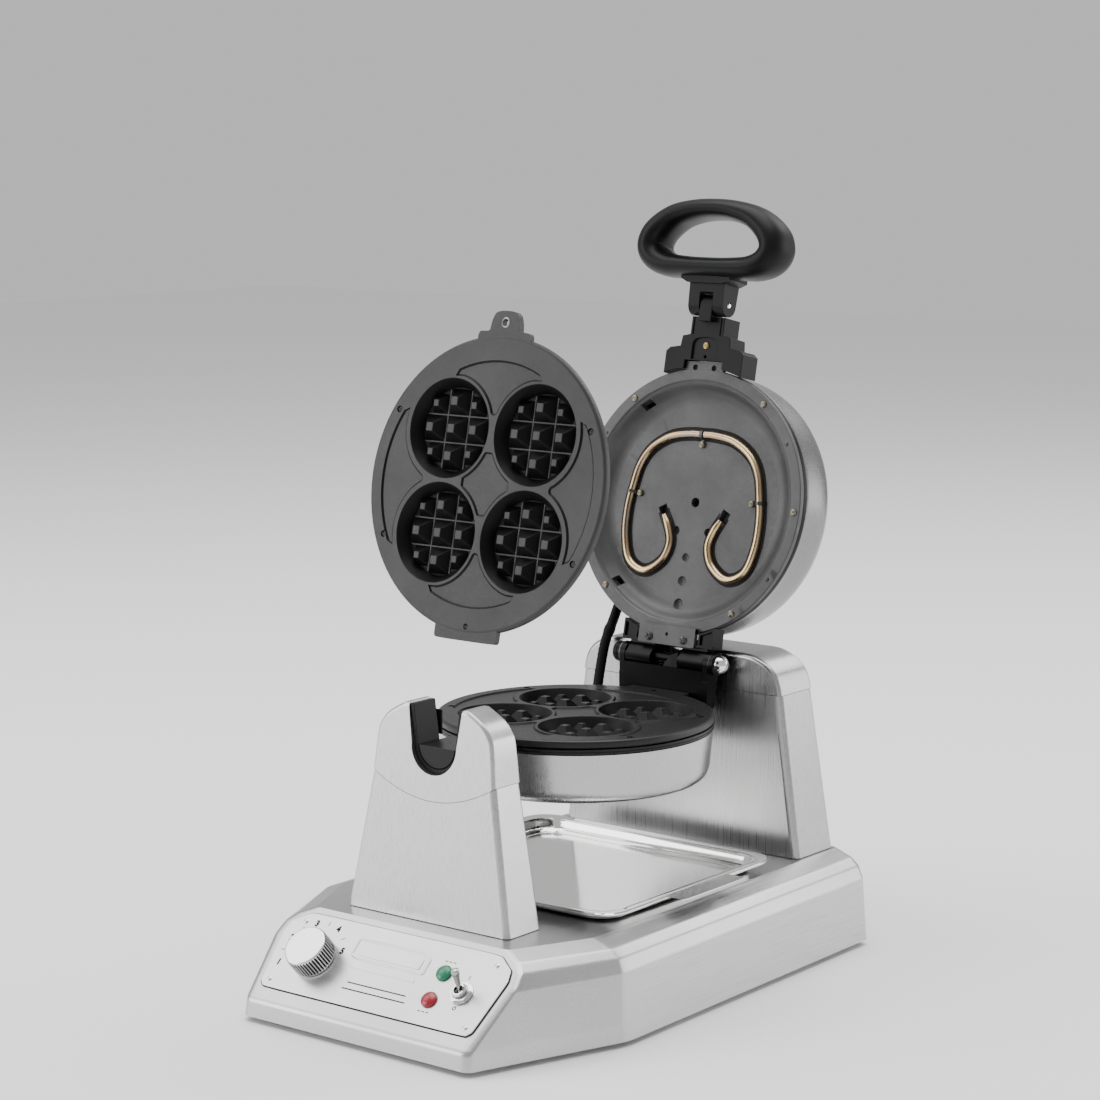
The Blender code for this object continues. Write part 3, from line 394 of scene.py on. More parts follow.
def block(low, high, data=None):
    outline = ((low[0], low[1]), (high[0], low[1]), (high[0], high[1]), (low[0], high[1]))
    return prism(outline, low[2], high[2], data)


def oblong(half, first, last):
    return [(-half, first), (half, first), (half, last), (-half, last)]


def mirrored(points):
    """A right half followed by its left half on the way back."""
    return [*points, *[(-x, y) for x, y in reversed(points)]]


def rounded(points, cuts, steps):
    """Closed outline with each corner cut back by its own share of the sides and rounded."""
    result = []
    total = len(points)
    for index, corner in enumerate(points):
        here = Vector(corner)
        before = Vector(points[index - 1])
        after = Vector(points[(index + 1) % total])
        reach = cuts[index]
        start = here + (before - here) * reach
        end = here + (after - here) * reach
        for step in range(steps + 1):
            t = step / steps
            spot = start * (1 - t) ** 2 + here * 2 * t * (1 - t) + end * t ** 2
            result.append(tuple(spot))
    return result


def curve_spot(a, b, c, d, t):
    """Catmull-Rom point between b and c."""
    return 0.5 * (2 * b + (c - a) * t + (2 * a - 5 * b + 4 * c - d) * t * t
                  + (3 * b - a - 3 * c + d) * t ** 3)


def smooth_path(points, steps):
    """Open curve through all points."""
    spots = [Vector(point) for point in points]
    ends = [spots[0] * 2 - spots[1], *spots, spots[-1] * 2 - spots[-2]]
    result = []
    for index in range(1, len(ends) - 2):
        a, b, c, d = ends[index - 1:index + 3]
        result += [curve_spot(a, b, c, d, step / steps) for step in range(steps)]
    result.append(spots[-1])
    return result


def sweep(path, size, hint, count, closed=False):
    """Tube of elliptic section along a path; size gives both radii at a point of it."""
    rings = []
    total = len(path)
    for index, spot in enumerate(path):
        before = path[index - 1] if (closed or index) else path[0]
        after = path[(index + 1) % total] if (closed or index < total - 1) else path[-1]
        along = (after - before).normalized()
        across = along.cross(hint).normalized()
        other = across.cross(along).normalized()
        wide, deep = size(index)
        ring = []
        for step in range(count):
            turn = math.tau * step / count
            ring.append(tuple(spot + across * wide * math.cos(turn) + other * deep * math.sin(turn)))
        rings.append(ring)
    return loft(rings, closed)


def cutter(name, data, place=WORLD):
    """Turn a bmesh into an object at its place in the centred frame."""
    bmesh.ops.transform(data, matrix=place, verts=data.verts)
    bmesh.ops.translate(data, vec=CENTRE, verts=data.verts)
    bmesh.ops.recalc_face_normals(data, faces=data.faces)
    mesh = bpy.data.meshes.new(name)
    data.to_mesh(mesh)
    data.free()
    item = bpy.data.objects.new(name, mesh)
    bpy.context.scene.collection.objects.link(item)
    return item


def plus(name, data, place=WORLD):
    return "UNION", cutter(name, data, place)


def less(name, data, place=WORLD):
    return "DIFFERENCE", cutter(name, data, place)


def applied(item):
    """Replace an object's mesh by what its modifiers make of it."""
    bpy.context.view_layer.update()
    shape = bpy.data.meshes.new_from_object(item.evaluated_get(bpy.context.evaluated_depsgraph_get()))
    item.modifiers.clear()
    item.data = shape
    return shape


def piece(name, data, place, paint, body, node=None, cuts=(), bevel=0.0, steps=2, weights=None, sharp=32.0,
          slot=None, painted_shade_coat=None):
    """Finish a bmesh into a shown piece: booleans, bevel, smooth shading, material, body.

    node is the CAD node that the piece replaces; slot is not used.
    weights picks the edges to bevel before the cuts. The last argument gives a second paint, laid on as
    painted shade, and a test for the faces it covers.
    """
    bmesh.ops.remove_doubles(data, verts=data.verts, dist=1e-6)
    item = cutter(name, data, place)
    if weights:
        layer = item.data.attributes.new("bevel_weight_edge", "FLOAT", "EDGE")
        for edge in item.data.edges:
            first = item.data.vertices[edge.vertices[0]].co - CENTRE
            second = item.data.vertices[edge.vertices[1]].co - CENTRE
            layer.data[edge.index].value = 1.0 if weights(first, second) else 0.0
        step = item.modifiers.new("corner", "BEVEL")
        step.limit_method = "WEIGHT"
        step.width, step.segments = bevel, steps
    for operation, other in cuts:
        step = item.modifiers.new(operation, "BOOLEAN")
        step.operation, step.solver, step.object = operation, "EXACT", other
    if bevel and not weights:
        step = item.modifiers.new("edge", "BEVEL")
        step.limit_method = "ANGLE"
        step.angle_limit = math.radians(BEVEL_ANGLE)
        step.width, step.segments = bevel, steps
        step.use_clamp_overlap = True
    shape = applied(item)
    for _, other in cuts:
        bpy.data.objects.remove(other, do_unlink=True)
    work = bmesh.new()
    work.from_mesh(shape)
    limit = math.radians(sharp)
    for face in work.faces:
        face.smooth = len(face.verts) < 5
    for edge in work.edges:
        edge.smooth = len(edge.link_faces) == 2 and edge.calc_face_angle(0.0) < limit
    work.to_mesh(shape)
    work.free()
    # large flat faces keep their own direction; only the bevels between them turn
    step = item.modifiers.new("normals", "WEIGHTED_NORMAL")
    step.keep_sharp = True
    step.weight = 100
    shape = applied(item)
    shape.materials.clear()
    shape.materials.append(paint)
    if painted_shade_coat:
        shape.materials.append(painted_shade_coat[0])
    back = (Matrix.Translation(CENTRE) @ place).inverted()
    for face in shape.polygons:
        inside = painted_shade_coat and painted_shade_coat[1](back @ face.center, back.to_3x3() @ face.normal)
        face.material_index = 1 if inside else 0
    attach(item, body)
    if node:
        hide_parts(node)


def at(place, x, y, z=0.0, turn=0.0):
    return place @ Matrix.Translation((x, y, z)) @ Matrix.Rotation(turn, 4, "Z")


def screw(name, place, radius, height, body, paint, slot, turn=0.4):
    """Pan-head screw with a cross recess, standing on local z = 0."""
    head = lathe(((radius, 0.0), (radius, height * 0.35), (radius * 0.86, height * 0.75),
                  (radius * 0.45, height), (radius * 0.02, height * 1.03)), 24)
    arm = radius * 0.62
    slim = radius * 0.13
    here = place @ Matrix.Rotation(turn, 4, "Z")
    cuts = []
    for index, (wide, tall) in enumerate(((arm, slim), (slim, arm))):
        groove = block((-wide, -tall, height * 0.45), (wide, tall, height * 1.5))
        cuts.append(less(f"{name}_cross_{index}", groove, here))
    piece(name, head, place, paint, body, cuts=cuts, slot=slot)


def on_panel(name, data, paint, place=PANEL, **more):
    """A further piece fixed to the control panel."""
    piece(name, data, place, paint, "base", slot="control_panel", **more)


# ---- base ---------------------------------------------------------------------------------
def base_ring(level, inset):
    z, front_y, front_half, bend_y, bend_half, rear_half = level
    bend_half -= BEND_TRIM
    rear = BASE_REAR_Y - inset
    front = front_y + inset
    points = [
        (-front_half + inset, front, z), (front_half - inset, front, z), (bend_half - inset, bend_y, z),
        (rear_half - inset, rear, z), (-rear_half + inset, rear, z), (-bend_half + inset, bend_y, z),
    ]
    cuts = (CORNER_FRONT, CORNER_FRONT, CORNER_BEND, CORNER_REAR, CORNER_REAR, CORNER_BEND)
    return rounded(points, cuts, 8)


def base_levels():
    """The side profile with each fold drawn as a small radius, for every level of the shell."""
    spots = [Vector(level) for level in BASE_LEVELS]
    levels = [spots[0]]
    for before, here, after in zip(spots[:-2], spots[1:-1], spots[2:]):
        start = here + (before - here) * min(0.4, FOLD_R / (before - here).length)
        end = here + (after - here) * min(0.4, FOLD_R / (after - here).length)
        for step in range(4):
            t = step / 3
            levels.append(start * (1 - t) ** 2 + here * 2 * t * (1 - t) + end * t ** 2)
    levels.append(spots[-1])
    return [tuple(level) for level in levels]


def panel_holes(name, low, high, count):
    """Cut for the knob's shaft, the switch and both lamps."""
    holes = bmesh.new()
    for (x, d), radius in ((KNOB_AT, 0.0050), (SWITCH_AT, 0.0064),
                           ((LAMP_X, LAMP_GREEN_D), 0.0050), ((LAMP_X, LAMP_RED_D), 0.0050)):
        rod(radius, low, high, count, data=holes, x=x, y=-d)
    return less(name, holes, PANEL)


def base():
    levels = base_levels()
    outer = [base_ring(level, 0.00012) for level in levels]
    inner = [base_ring((level[0] - (0.0 if i == 0 else WALL), *level[1:]), WALL)
             for i, level in enumerate(levels)]
    piece("base_body", loft([*reversed(inner), *outer]), WORLD, STEEL_Y, "base", "base_shell",
          cuts=[panel_holes("panel_holes", -0.012, 0.0003, 24)], bevel=0.0016, steps=4)


def bar(length, width, x, y, low, high, turn, data):
    """Flat straight mark centred on (x, y), drawn along its own length."""
    spin = Matrix.Rotation(turn, 2)
    corners = [spin @ Vector(p) for p in oblong(width, -length, length)]
    prism([(x + c.x, y + c.y) for c in corners], low, high, data)


def ink_bar(length, width, x, y, data, turn=0.0):
    bar(length, width, x, y, INK_LOW, INK_TOP, turn, data)


def numeral(text, x, y, size):
    curve = bpy.data.curves.new("numeral_" + text, "FONT")
    curve.body = text
    curve.size = size
    curve.align_x = "CENTER"
    curve.align_y = "CENTER"
    curve.extrude = 0.00006
    curve.offset = 0.00036
    source = bpy.data.objects.new("numeral_source", curve)
    bpy.context.scene.collection.objects.link(source)
    bpy.context.view_layer.update()
    mesh = bpy.data.meshes.new_from_object(source.evaluated_get(bpy.context.evaluated_depsgraph_get()))
    bpy.data.objects.remove(source, do_unlink=True)
    data = bmesh.new()
    data.from_mesh(mesh)
    on_panel("dial_number_" + text, data, INK, at(PANEL, x, y, INK_TOP))


def controls():
    low = PANEL_TOP_Z + GAP
    corners = (0.12,) * len(PANEL_OUTLINE)
    plate = prism(rounded([(x, -d) for x, d in PANEL_OUTLINE], corners, 4), PANEL_FOOT, PANEL_TOP_Z)
    piece("panel_plate", plate, PANEL, STEEL_X, "base", "control_panel",
          cuts=[panel_holes("plate_holes", -0.002, 0.004, 32)], bevel=0.0004, steps=2)
    loop = [Vector(p) for p in rounded([Vector((x, -d, 0.00045)) for x, d in PANEL_OUTLINE], corners, 4)]
    grown = [p + Vector((math.copysign(0.0003, p.x), math.copysign(0.0003, p.y + 0.0375), 0.0)) for p in loop]
    on_panel("panel_seam", sweep(grown, lambda i: (0.00032, 0.0002), ABOVE, 6, closed=True), DARK)
    for index, (x, d) in enumerate(((-0.0885, 0.0138), (0.0885, 0.0138), (-0.0905, 0.0640),
                                    (0.0905, 0.0640))):
        dome = ((0.0019, 0.0), (0.0018, 0.0005), (0.0013, 0.0009), (0.0005, 0.0011), (0.0001, 0.00112))
        on_panel(f"panel_rivet_{index + 1}", lathe(dome, 20), CHROME, at(PANEL, x, -d, PANEL_TOP_Z))
    knob_marks()
    knob()
    lamps(low)
    switch(low)


def knob_marks():
    """Dial ticks and the figures 1 to 5 round the upper side of the knob, and plain marks elsewhere."""
    x0, d0 = DIAL_AT
    ticks = bmesh.new()
    for step in range(9):
        turn = math.radians(DIAL_FIRST + step * DIAL_SWEEP / 8)
        x, y = x0 + DIAL_R * math.sin(turn), -d0 + DIAL_R * math.cos(turn)
        if step % 2:
            ink_bar(0.0017, 0.00030, x, y, ticks, -turn)
        else:
            numeral(str(step // 2 + 1), x, y, 0.0066)
    on_panel("dial_ticks", ticks, INK)
    # plain unlettered marks beside the lamps and the switch
    marks = bmesh.new()
    sx, sd = SWITCH_AT
    ink_bar(0.0016, 0.00035, sx - 0.0010, -sd + 0.0132, marks)
    flat_ring(0.0009, 0.0016, INK_LOW, INK_TOP, 24, data=marks, x=sx, y=-sd - 0.0116)
    for drop in (LAMP_GREEN_D - 0.0095, LAMP_RED_D + 0.0095):
        for shift in (-0.0036, 0.0, 0.0036):
            ink_bar(0.00035, 0.0012, LAMP_X + shift, -drop, marks)
    for drop, half in ((0.0520, 0.0270), (0.0572, 0.0290)):
        ink_bar(0.00050, half, 0.0030, -drop, marks)
    on_panel("panel_marks", marks, INK)
    # blank embossed badge: a raised frame round a plain field
    line = [Vector((x, y, 0.0013)) for x, y in
            rounded(oblong(0.0335, -0.0175, -0.0335), (0.06, 0.25, 0.06, 0.25), 5)]
    on_panel("badge_frame", sweep(line, lambda i: (0.0009, 0.0005), ABOVE, 10, closed=True), STEEL_X,
             sharp=60)
    field = prism(rounded(oblong(0.0285, -0.0205, -0.0305), (0.05, 0.2, 0.05, 0.2), 4), 0.0012, 0.0018)
    on_panel("badge_field", field, STEEL_X, bevel=0.0004, steps=2)
    strip = prism(rounded(oblong(0.0300, -0.0380, -0.0408), (0.03, 0.4, 0.03, 0.4), 4), 0.0012, 0.0017)
    on_panel("badge_strip", strip, STEEL_X, bevel=0.0004, steps=2)


def knob():
    place = at(PANEL, KNOB_AT[0], -KNOB_AT[1])
    low = PANEL_TOP_Z + GAP
    teeth = 44
    count = teeth * 4
    shape = (0.0, -0.35, -1.0, -0.35)
    deep = 0.0014

    def ring(radius, z, amount):
        points = []
        for index in range(count):
            turn = math.tau * index / count
            r = radius + deep * amount * shape[index % 4]
            points.append((r * math.cos(turn), r * math.sin(turn), z))
        return points

    rings = [ring(0.0034, low, 0), ring(KNOB_R - 0.0013, low, 0), ring(KNOB_R - 0.0006, low + 0.0006, 0.5),
             ring(KNOB_R, low + 0.0016, 1), ring(KNOB_R, KNOB_H - 0.0026, 1),
             ring(KNOB_R - 0.0004, KNOB_H - 0.0014, 0.6), ring(KNOB_R - 0.0008, KNOB_H - 0.0009, 0.0),
             ring(KNOB_R - 0.0012, KNOB_H - 0.0003, 0), ring(KNOB_R - 0.0020, KNOB_H, 0),
             ring(0.004, KNOB_H, 0), ring(0.0001, KNOB_H, 0), ring(0.0001, 0.011, 0), ring(0.0034, 0.011, 0)]
    # The knurl's deep faces take the dark screw metal as painted shade in the grooves.
    knurl_painted_shade = (SCREW, lambda spot, normal: 0.0030 < spot.z < KNOB_H - 0.0012
               and 0.010 < spot.xy.length < KNOB_R - 0.0006)
    piece("knob_body", loft(rings, closed=True), place, CHROME_BRUSHED, "knob", "thermostat_knob", sharp=40,
          painted_shade_coat=knurl_painted_shade)
    mark = bmesh.new()
    bar(0.0040, 0.00035, 0.0, 0.0085, KNOB_H - 0.0006, KNOB_H - 0.00002, 0.0, mark)
    mark_at = place @ Matrix.Rotation(math.radians(118), 4, "Z")
    piece("knob_pointer", mark, mark_at, INK, "knob", slot="thermostat_knob")


def lamps(low):
    for name, d, paint in (("green_lamp", LAMP_GREEN_D, GREEN), ("red_lamp", LAMP_RED_D, RED)):
        place = at(PANEL, LAMP_X, -d)
        dome = [(0.0045, -0.018), (0.0045, low), (0.0062, low)]
        dome += [(0.0062 * math.cos(a), low + 0.0004 + 0.0026 * math.sin(a))
                 for a in (math.radians(step * 10) for step in range(9))]
        piece(name + "_lens", lathe(dome, 40), place, paint, "base", name)


def switch(low):
    place = at(PANEL, SWITCH_AT[0], -SWITCH_AT[1])
    thread = [(0.0036, 0.0075), (0.0036, 0.0015), (0.0056, 0.0015)]
    for index in range(8):
        z = low + 0.0001 + index * 0.0006
        thread += [(0.0056, z), (0.0052, z + 0.0003)]
    thread += [(0.0056, 0.0065), (0.0050, 0.0071), (0.0046, 0.0075)]
    piece("switch_bush", lathe(thread, 32, True), place, CHROME, "base", slot="switch_body")
    hexagon = circle(0.0088, 0.0, 6, turn=0.3)
    nut = prism([(x, y) for x, y, _ in hexagon], low + 0.0006, low + 0.0030)
    piece("switch_nut_hex", nut, place, CHROME, "base", "switch_nut",
          cuts=[less("nut_bore", rod(0.0058, 0.0, 0.01, 32), place)], bevel=0.0004, steps=3)
    washer = flat_ring(0.0061, 0.0087, low, low + 0.0006, 40)
    piece("switch_washer", washer, place, CHROME, "base", slot="switch_nut")
    pivot = place @ Matrix.Translation((0.0, 0.0, 0.0040))
    lever = pivot @ Matrix.Rotation(math.radians(-LEVER_TILT), 4, "X")
    shape = [(0.0010, -0.0016), (0.0020, -0.0012), (0.0022, 0.0000), (0.0016, 0.0022), (0.0017, 0.0060),
             (0.0023, 0.0122), (0.0028, 0.0146), (0.0031, 0.0160), (0.0030, 0.0172), (0.0024, 0.0182),
             (0.0014, 0.0187), (0.0002, 0.01875)]
    piece("switch_bat", lathe(shape, 28), lever, LEVER_STEEL, "lever", "switch_lever")


# ---- posts --------------------------------------------------------------------------------
def mix(value, low, high, first, last):
    t = (value - low) / (high - low)
    return first + (last - first) * t


def front_y(z):
    if z < FP_SEAM_Z:
        return mix(z, DECK_Z, FP_SEAM_Z, FP_FRONT_LOW, FP_FRONT_SEAM)
    return mix(z, FP_SEAM_Z, FP_TOP_Z, FP_FRONT_SEAM, FP_FRONT_TOP)


def upright(outline, front, back, inset=0.0):
    rings = [[(x, front(z) + inset, z) for x, z in outline], [(x, back(z) - inset, z) for x, z in outline]]
    return loft(rings)


def seam_arc(half, drop, count=24):
    return [(half * (1 - 2 * i / count), FP_SEAM_Z - drop - FP_SEAM_SAG * (1 - (1 - 2 * i / count) ** 2))
            for i in range(count + 1)]


def notch_points(radius, half_top, top, count=28):
    arc = [(radius * math.cos(math.pi * i / count), FLIP_Z - radius * math.sin(math.pi * i / count))
           for i in range(count + 1)]
    return [(half_top, top), *arc, (-half_top, top)]


def shoulder_edge(a, b):
    flat = abs(a.y - b.y) < 0.006
    outside = min(abs(a.x), abs(b.x)) > 0.0265
    above = min(a.z, b.z) > FP_SEAM_Z - 0.001
    return flat and outside and above


def arch(points, steps):
    """Open curve through (x, z) points."""
    return [(p.x, p.y) for p in smooth_path([(x, z, 0.0) for x, z in points], steps)]


def front_post():
    low = DECK_Z + GAP
    outline = [(-FP_HALF_LOW, low), (FP_HALF_LOW, low), *seam_arc(FP_HALF_SEAM, 0.0004)]
    post = upright(outline, front_y, lambda z: FP_BACK)
    inner = [(-FP_HALF_LOW + POST_WALL, 0.06), (FP_HALF_LOW - POST_WALL, 0.06)]
    inner += [(x * 0.96, z - POST_WALL) for x, z in seam_arc(FP_HALF_SEAM, 0.0)]
    hollow = less("post_hollow", upright(inner, front_y, lambda z: FP_BACK, POST_WALL))
    piece("front_post_sleeve", post, WORLD, STEEL_Z, "base", "front_post", cuts=[hollow],
          bevel=0.0042, steps=6, weights=lambda a, b: abs(a.z - b.z) > 0.05)
    shoulder = arch([(0.0560, FP_SEAM_Z), (0.0530, 0.2020), (0.0500, 0.2100), (0.0440, 0.2170),
                     (0.0350, 0.2225), (0.0285, FP_TOP_Z)], 3)
    outline = mirrored(shoulder)
    outline += list(reversed(seam_arc(FP_HALF_SEAM, 0.0)))[1:-1]
    notch = notch_points(NOTCH_R, NOTCH_TOP_HALF + 0.0008, FP_TOP_Z + 0.0050)
    opening = less("notch", upright(notch, lambda z: FP_FRONT_LOW - 0.02, lambda z: FP_BACK + 0.02))
    piece("front_post_crown", upright(outline, front_y, lambda z: FP_BACK), WORLD, STEEL_Z, "base",
          "front_post_cap", cuts=[opening], bevel=0.0026, steps=5, weights=shoulder_edge)
    outer = upright(notch_points(LINER_OUT, 0.0241, 0.2252), lambda z: LINER_FRONT, lambda z: LINER_BACK)
    inside = notch_points(LINER_IN, 0.0215, 0.2302)
    hollow = less("lining_hollow", upright(inside, lambda z: LINER_FRONT - 0.01, lambda z: LINER_BACK + 0.01))
    piece("notch_lining", outer, WORLD, LINER, "base", "notch_liner", cuts=[hollow], bevel=0.0005,
          steps=2)
    stop = block((-0.0240, -0.1344, 0.1990), (-0.0172, -0.1328, 0.2170))
    piece("notch_catch", stop, WORLD, LINER, "base", "notch_stop", bevel=0.0005, steps=2)


def rear_back(z):
    return mix(z, DECK_Z, RP_TOP_Z, RP_BACK_LOW, RP_BACK_TOP)


def rear_shoulder_edge(a, b):
    flat = abs(a.y - b.y) < 0.004
    short = abs(a.z - b.z) + abs(a.x - b.x) < 0.125
    above = min(a.z, b.z) > RP_SEAM_Z - 0.001 and max(a.z, b.z) > RP_SEAM_Z + 0.001
    return flat and short and above


def rear_post():
    low = DECK_Z + GAP
    seam = RP_SEAM_Z - 0.0004
    half = RP_HALF_SEAM
    outline = [(-RP_HALF_LOW, low), (RP_HALF_LOW, low), (half, seam), (-half, seam)]
    inner = [(-RP_HALF_LOW + POST_WALL, 0.06), (RP_HALF_LOW - POST_WALL, 0.06),
             (half - POST_WALL * 2, 0.1800), (-half + POST_WALL * 2, 0.1800)]
    hollow = less("rear_hollow", upright(inner, lambda z: RP_FRONT, rear_back, POST_WALL))
    bore_at = ALONG_Y @ Matrix.Translation((0.0, FLIP_Z, 0.0))
    piece("rear_post_sleeve", upright(outline, lambda z: RP_FRONT, rear_back), WORLD, STEEL_REAR_SHADED, "base",
          "rear_post", cuts=[hollow, less("bore_low", rod(SHAFT_BORE_R, *SHAFT_BORE, 40), bore_at)],
          bevel=0.0058, steps=6, weights=lambda a, b: abs(a.z - b.z) > 0.05)
    shoulder = arch([(half, RP_SEAM_Z), (0.0925, 0.2070), (0.0880, 0.2150), (0.0800, 0.2215),
                     (0.0690, 0.2258), (0.0600, RP_TOP_Z)], 4)
    shoulder = [(x, min(z, RP_TOP_Z)) for x, z in shoulder]
    outline = mirrored(shoulder)
    piece("rear_post_crown", upright(outline, lambda z: RP_FRONT, rear_back), WORLD, STEEL_REAR_SHADED, "base",
          "rear_post_cap", cuts=[less("bore_high", rod(SHAFT_BORE_R, *SHAFT_BORE, 40), bore_at)],
          bevel=0.0034, steps=5, weights=rear_shoulder_edge)


# ---- drip tray ----------------------------------------------------------------------------
def tray_ring(grow, z):
    points = [(-TRAY_HALF - grow, TRAY_FRONT - grow, z), (TRAY_HALF + grow, TRAY_FRONT - grow, z),
              (TRAY_HALF + grow, TRAY_REAR + grow, z), (-TRAY_HALF - grow, TRAY_REAR + grow, z)]
    return rounded(points, (0.11, 0.11, 0.11, 0.11), 10)


def tray():
    floor = DECK_Z + GAP
    skin = 0.0008
    rim = TRAY_RIM_Z
    profile = [(-0.0132, floor), (-0.0112, floor + 0.0004), (-0.0095, floor + 0.0016),
             (-0.0086, rim - 0.0035), (-0.0078, rim - 0.0012), (-0.0066, rim - skin),
             (-0.0008, rim - skin), (-0.0003, rim - 0.0013), (-0.0002, rim - 0.0020),
             (0.0004, rim - 0.0021), (0.0008, rim - 0.0014), (0.0008, rim - 0.0006),
             (0.0003, rim), (-0.0004, rim + 0.0001), (-0.0012, rim - 0.0001),
             (-0.0052, rim - 0.0003), (-0.0068, rim), (-0.0080, rim - 0.0004),
             (-0.0088, rim - 0.0016), (-0.0094, rim - 0.0034), (-0.0100, floor + 0.0030),
             (-0.0112, floor + 0.0014), (-0.0134, floor + skin),
             (-0.0180, floor + skin - 0.0001), (-0.0200, floor + skin + 0.0003),
             (-0.0220, floor + skin - 0.0001)]
    tab = [(0.0, -0.0400), (0.0, 0.0380), (0.0150, 0.0380), (0.0170, 0.0340), (0.0170, -0.0360),
           (0.0150, -0.0400)]
    outline = rounded([(TRAY_HALF - 0.0015 + x, y) for x, y in tab], (0.0, 0.0, 0.15, 0.3, 0.3, 0.15), 4)
    tongue = plus("tray_tongue", prism(outline, rim - 0.0009, rim - 0.0001))
    piece("tray_pan", loft([tray_ring(grow, z) for grow, z in profile]), WORLD, MIRROR, "tray", "drip_tray",
          cuts=[tongue])


# ---- cooking plates -----------------------------------------------------------------------
CAV_X, CAV_Y, CAV_R, CAV_FLOOR_R, CAV_DEPTH = 0.0381, 0.0367, 0.0352, 0.0296, 0.0096
PITCH = 0.0194
POCKET = 0.0011
POCKET_EDGE = 0.0014
QUARTERS = ((-1, -1), (1, -1), (1, 1), (-1, 1))
PEG_H, PEG_HEAD = 0.0079, 0.0029
CORNER_PEG_H, CORNER_PEG_HEAD, CORNER_PEG_PULL = 0.0066, 0.0022, 0.0022
TAB_HOLE_Y, TONGUE_HOLE_Y = 0.1128, -0.0990
RIM_SCREWS = ((0.0853, 0.0425), (-0.0855, 0.0470), (0.0846, -0.0475), (-0.0854, -0.0420))


def crescent(near, across, rim, land, blunt):
    """Pocket between the plate's rim and two cavities, drawn towards +y; near is the cavity's y."""
    reach = CAV_R + land
    start = 180.0 - math.degrees(math.acos((across - blunt) / reach))
    # follow the cavity's edge outwards until the pocket has narrowed to a point near the rim
    right = []
    for step in range(60):
        turn = math.radians(start - step * 2.5)
        spot = Vector((across + reach * math.cos(turn), near + reach * math.sin(turn)))
        if rim - spot.length < 0.0032 or (step > 4 and spot.length < right[-1].length - 1e-5):
            break
        right.append(spot)
    last = right[-1]
    angle = math.degrees(math.atan2(last.y, last.x))
    tip = Vector((math.cos(math.radians(angle - 4.0)), math.sin(math.radians(angle - 4.0)))) * (rim - 0.0014)
    outer = arc_points(0.0, 0.0, rim, angle - 1.5, 181.5 - angle, 30)
    low = right[0]
    left = [(-p.x, p.y) for p in reversed(right)]
    return [tuple(tip), *outer, (-tip.x, tip.y), *left, (-low.x * 0.45, low.y - blunt * 0.4),
            (low.x * 0.45, low.y - blunt * 0.4), *[tuple(p) for p in right]]


def star():
    """Four-pointed pocket in the middle of the plate."""
    reach = CAV_R + 0.0036
    blunt = 0.0026
    points = []
    for sx, sy in QUARTERS:
        spot = arc_points(CAV_X, CAV_Y, reach, 180.0 + math.degrees(math.acos((CAV_X - blunt) / reach)),
                          270.0 - math.degrees(math.acos((CAV_Y - blunt) / reach)), 14)
        if sx * sy > 0:
            spot = list(reversed(spot))
        points += [(x * sx, y * sy) for x, y in spot]
    return points


def pocket(shape, data):
    """Cutter for a shallow pocket whose edge slopes outwards, so that its outline shows from every side, both
    by the slope's own shading and by the painted shade laid on the slope.
    """
    spots = [Vector(point) for point in shape]
    total = len(spots)
    turning = sum(spots[i - 1].cross(spots[i]) for i in range(total))
    wide = []
    for index, spot in enumerate(spots):
        along = (spots[(index + 1) % total] - spots[index - 1]).normalized()
        outward = Vector((along.y, -along.x)) * (1.0 if turning > 0 else -1.0)
        wide.append(spot + outward * POCKET_EDGE)
    rings = [[(*spot, -POCKET) for spot in spots], [(*spot, 0.0) for spot in wide],
             [(*spot, 0.004) for spot in wide]]
    return loft(rings, data=data)


def peg(data, x, y, floor, foot, head, top):
    rings = []
    for half, z in ((foot, floor - 0.0010), (foot, floor + 0.0003), (head + 0.0004, top - 0.0008),
                    (head + 0.0001, top - 0.0002), (head - 0.0004, top)):
        points = [(x + half * sx, y + half * sy) for sx, sy in QUARTERS]
        rings.append([(px, py, z) for px, py in rounded(points, (0.10,) * 4, 2)])
    loft(rings, data=data)


def cavity_pegs(data, cx, cy, floor):
    """Truncated pyramids on a square grid; the four outermost are cut off by the cavity wall."""
    for ox, oy in ((0, 0), (1, 0), (-1, 0), (0, 1), (0, -1)):
        peg(data, cx + ox * PITCH, cy + oy * PITCH, floor, PITCH / 2 - 0.0005, PEG_HEAD, floor + PEG_H)
    for ox, oy in QUARTERS:
        step = PITCH - CORNER_PEG_PULL
        peg(data, cx + ox * step, cy + oy * step, floor, PITCH / 2 - 0.0027, CORNER_PEG_HEAD,
            floor + CORNER_PEG_H)


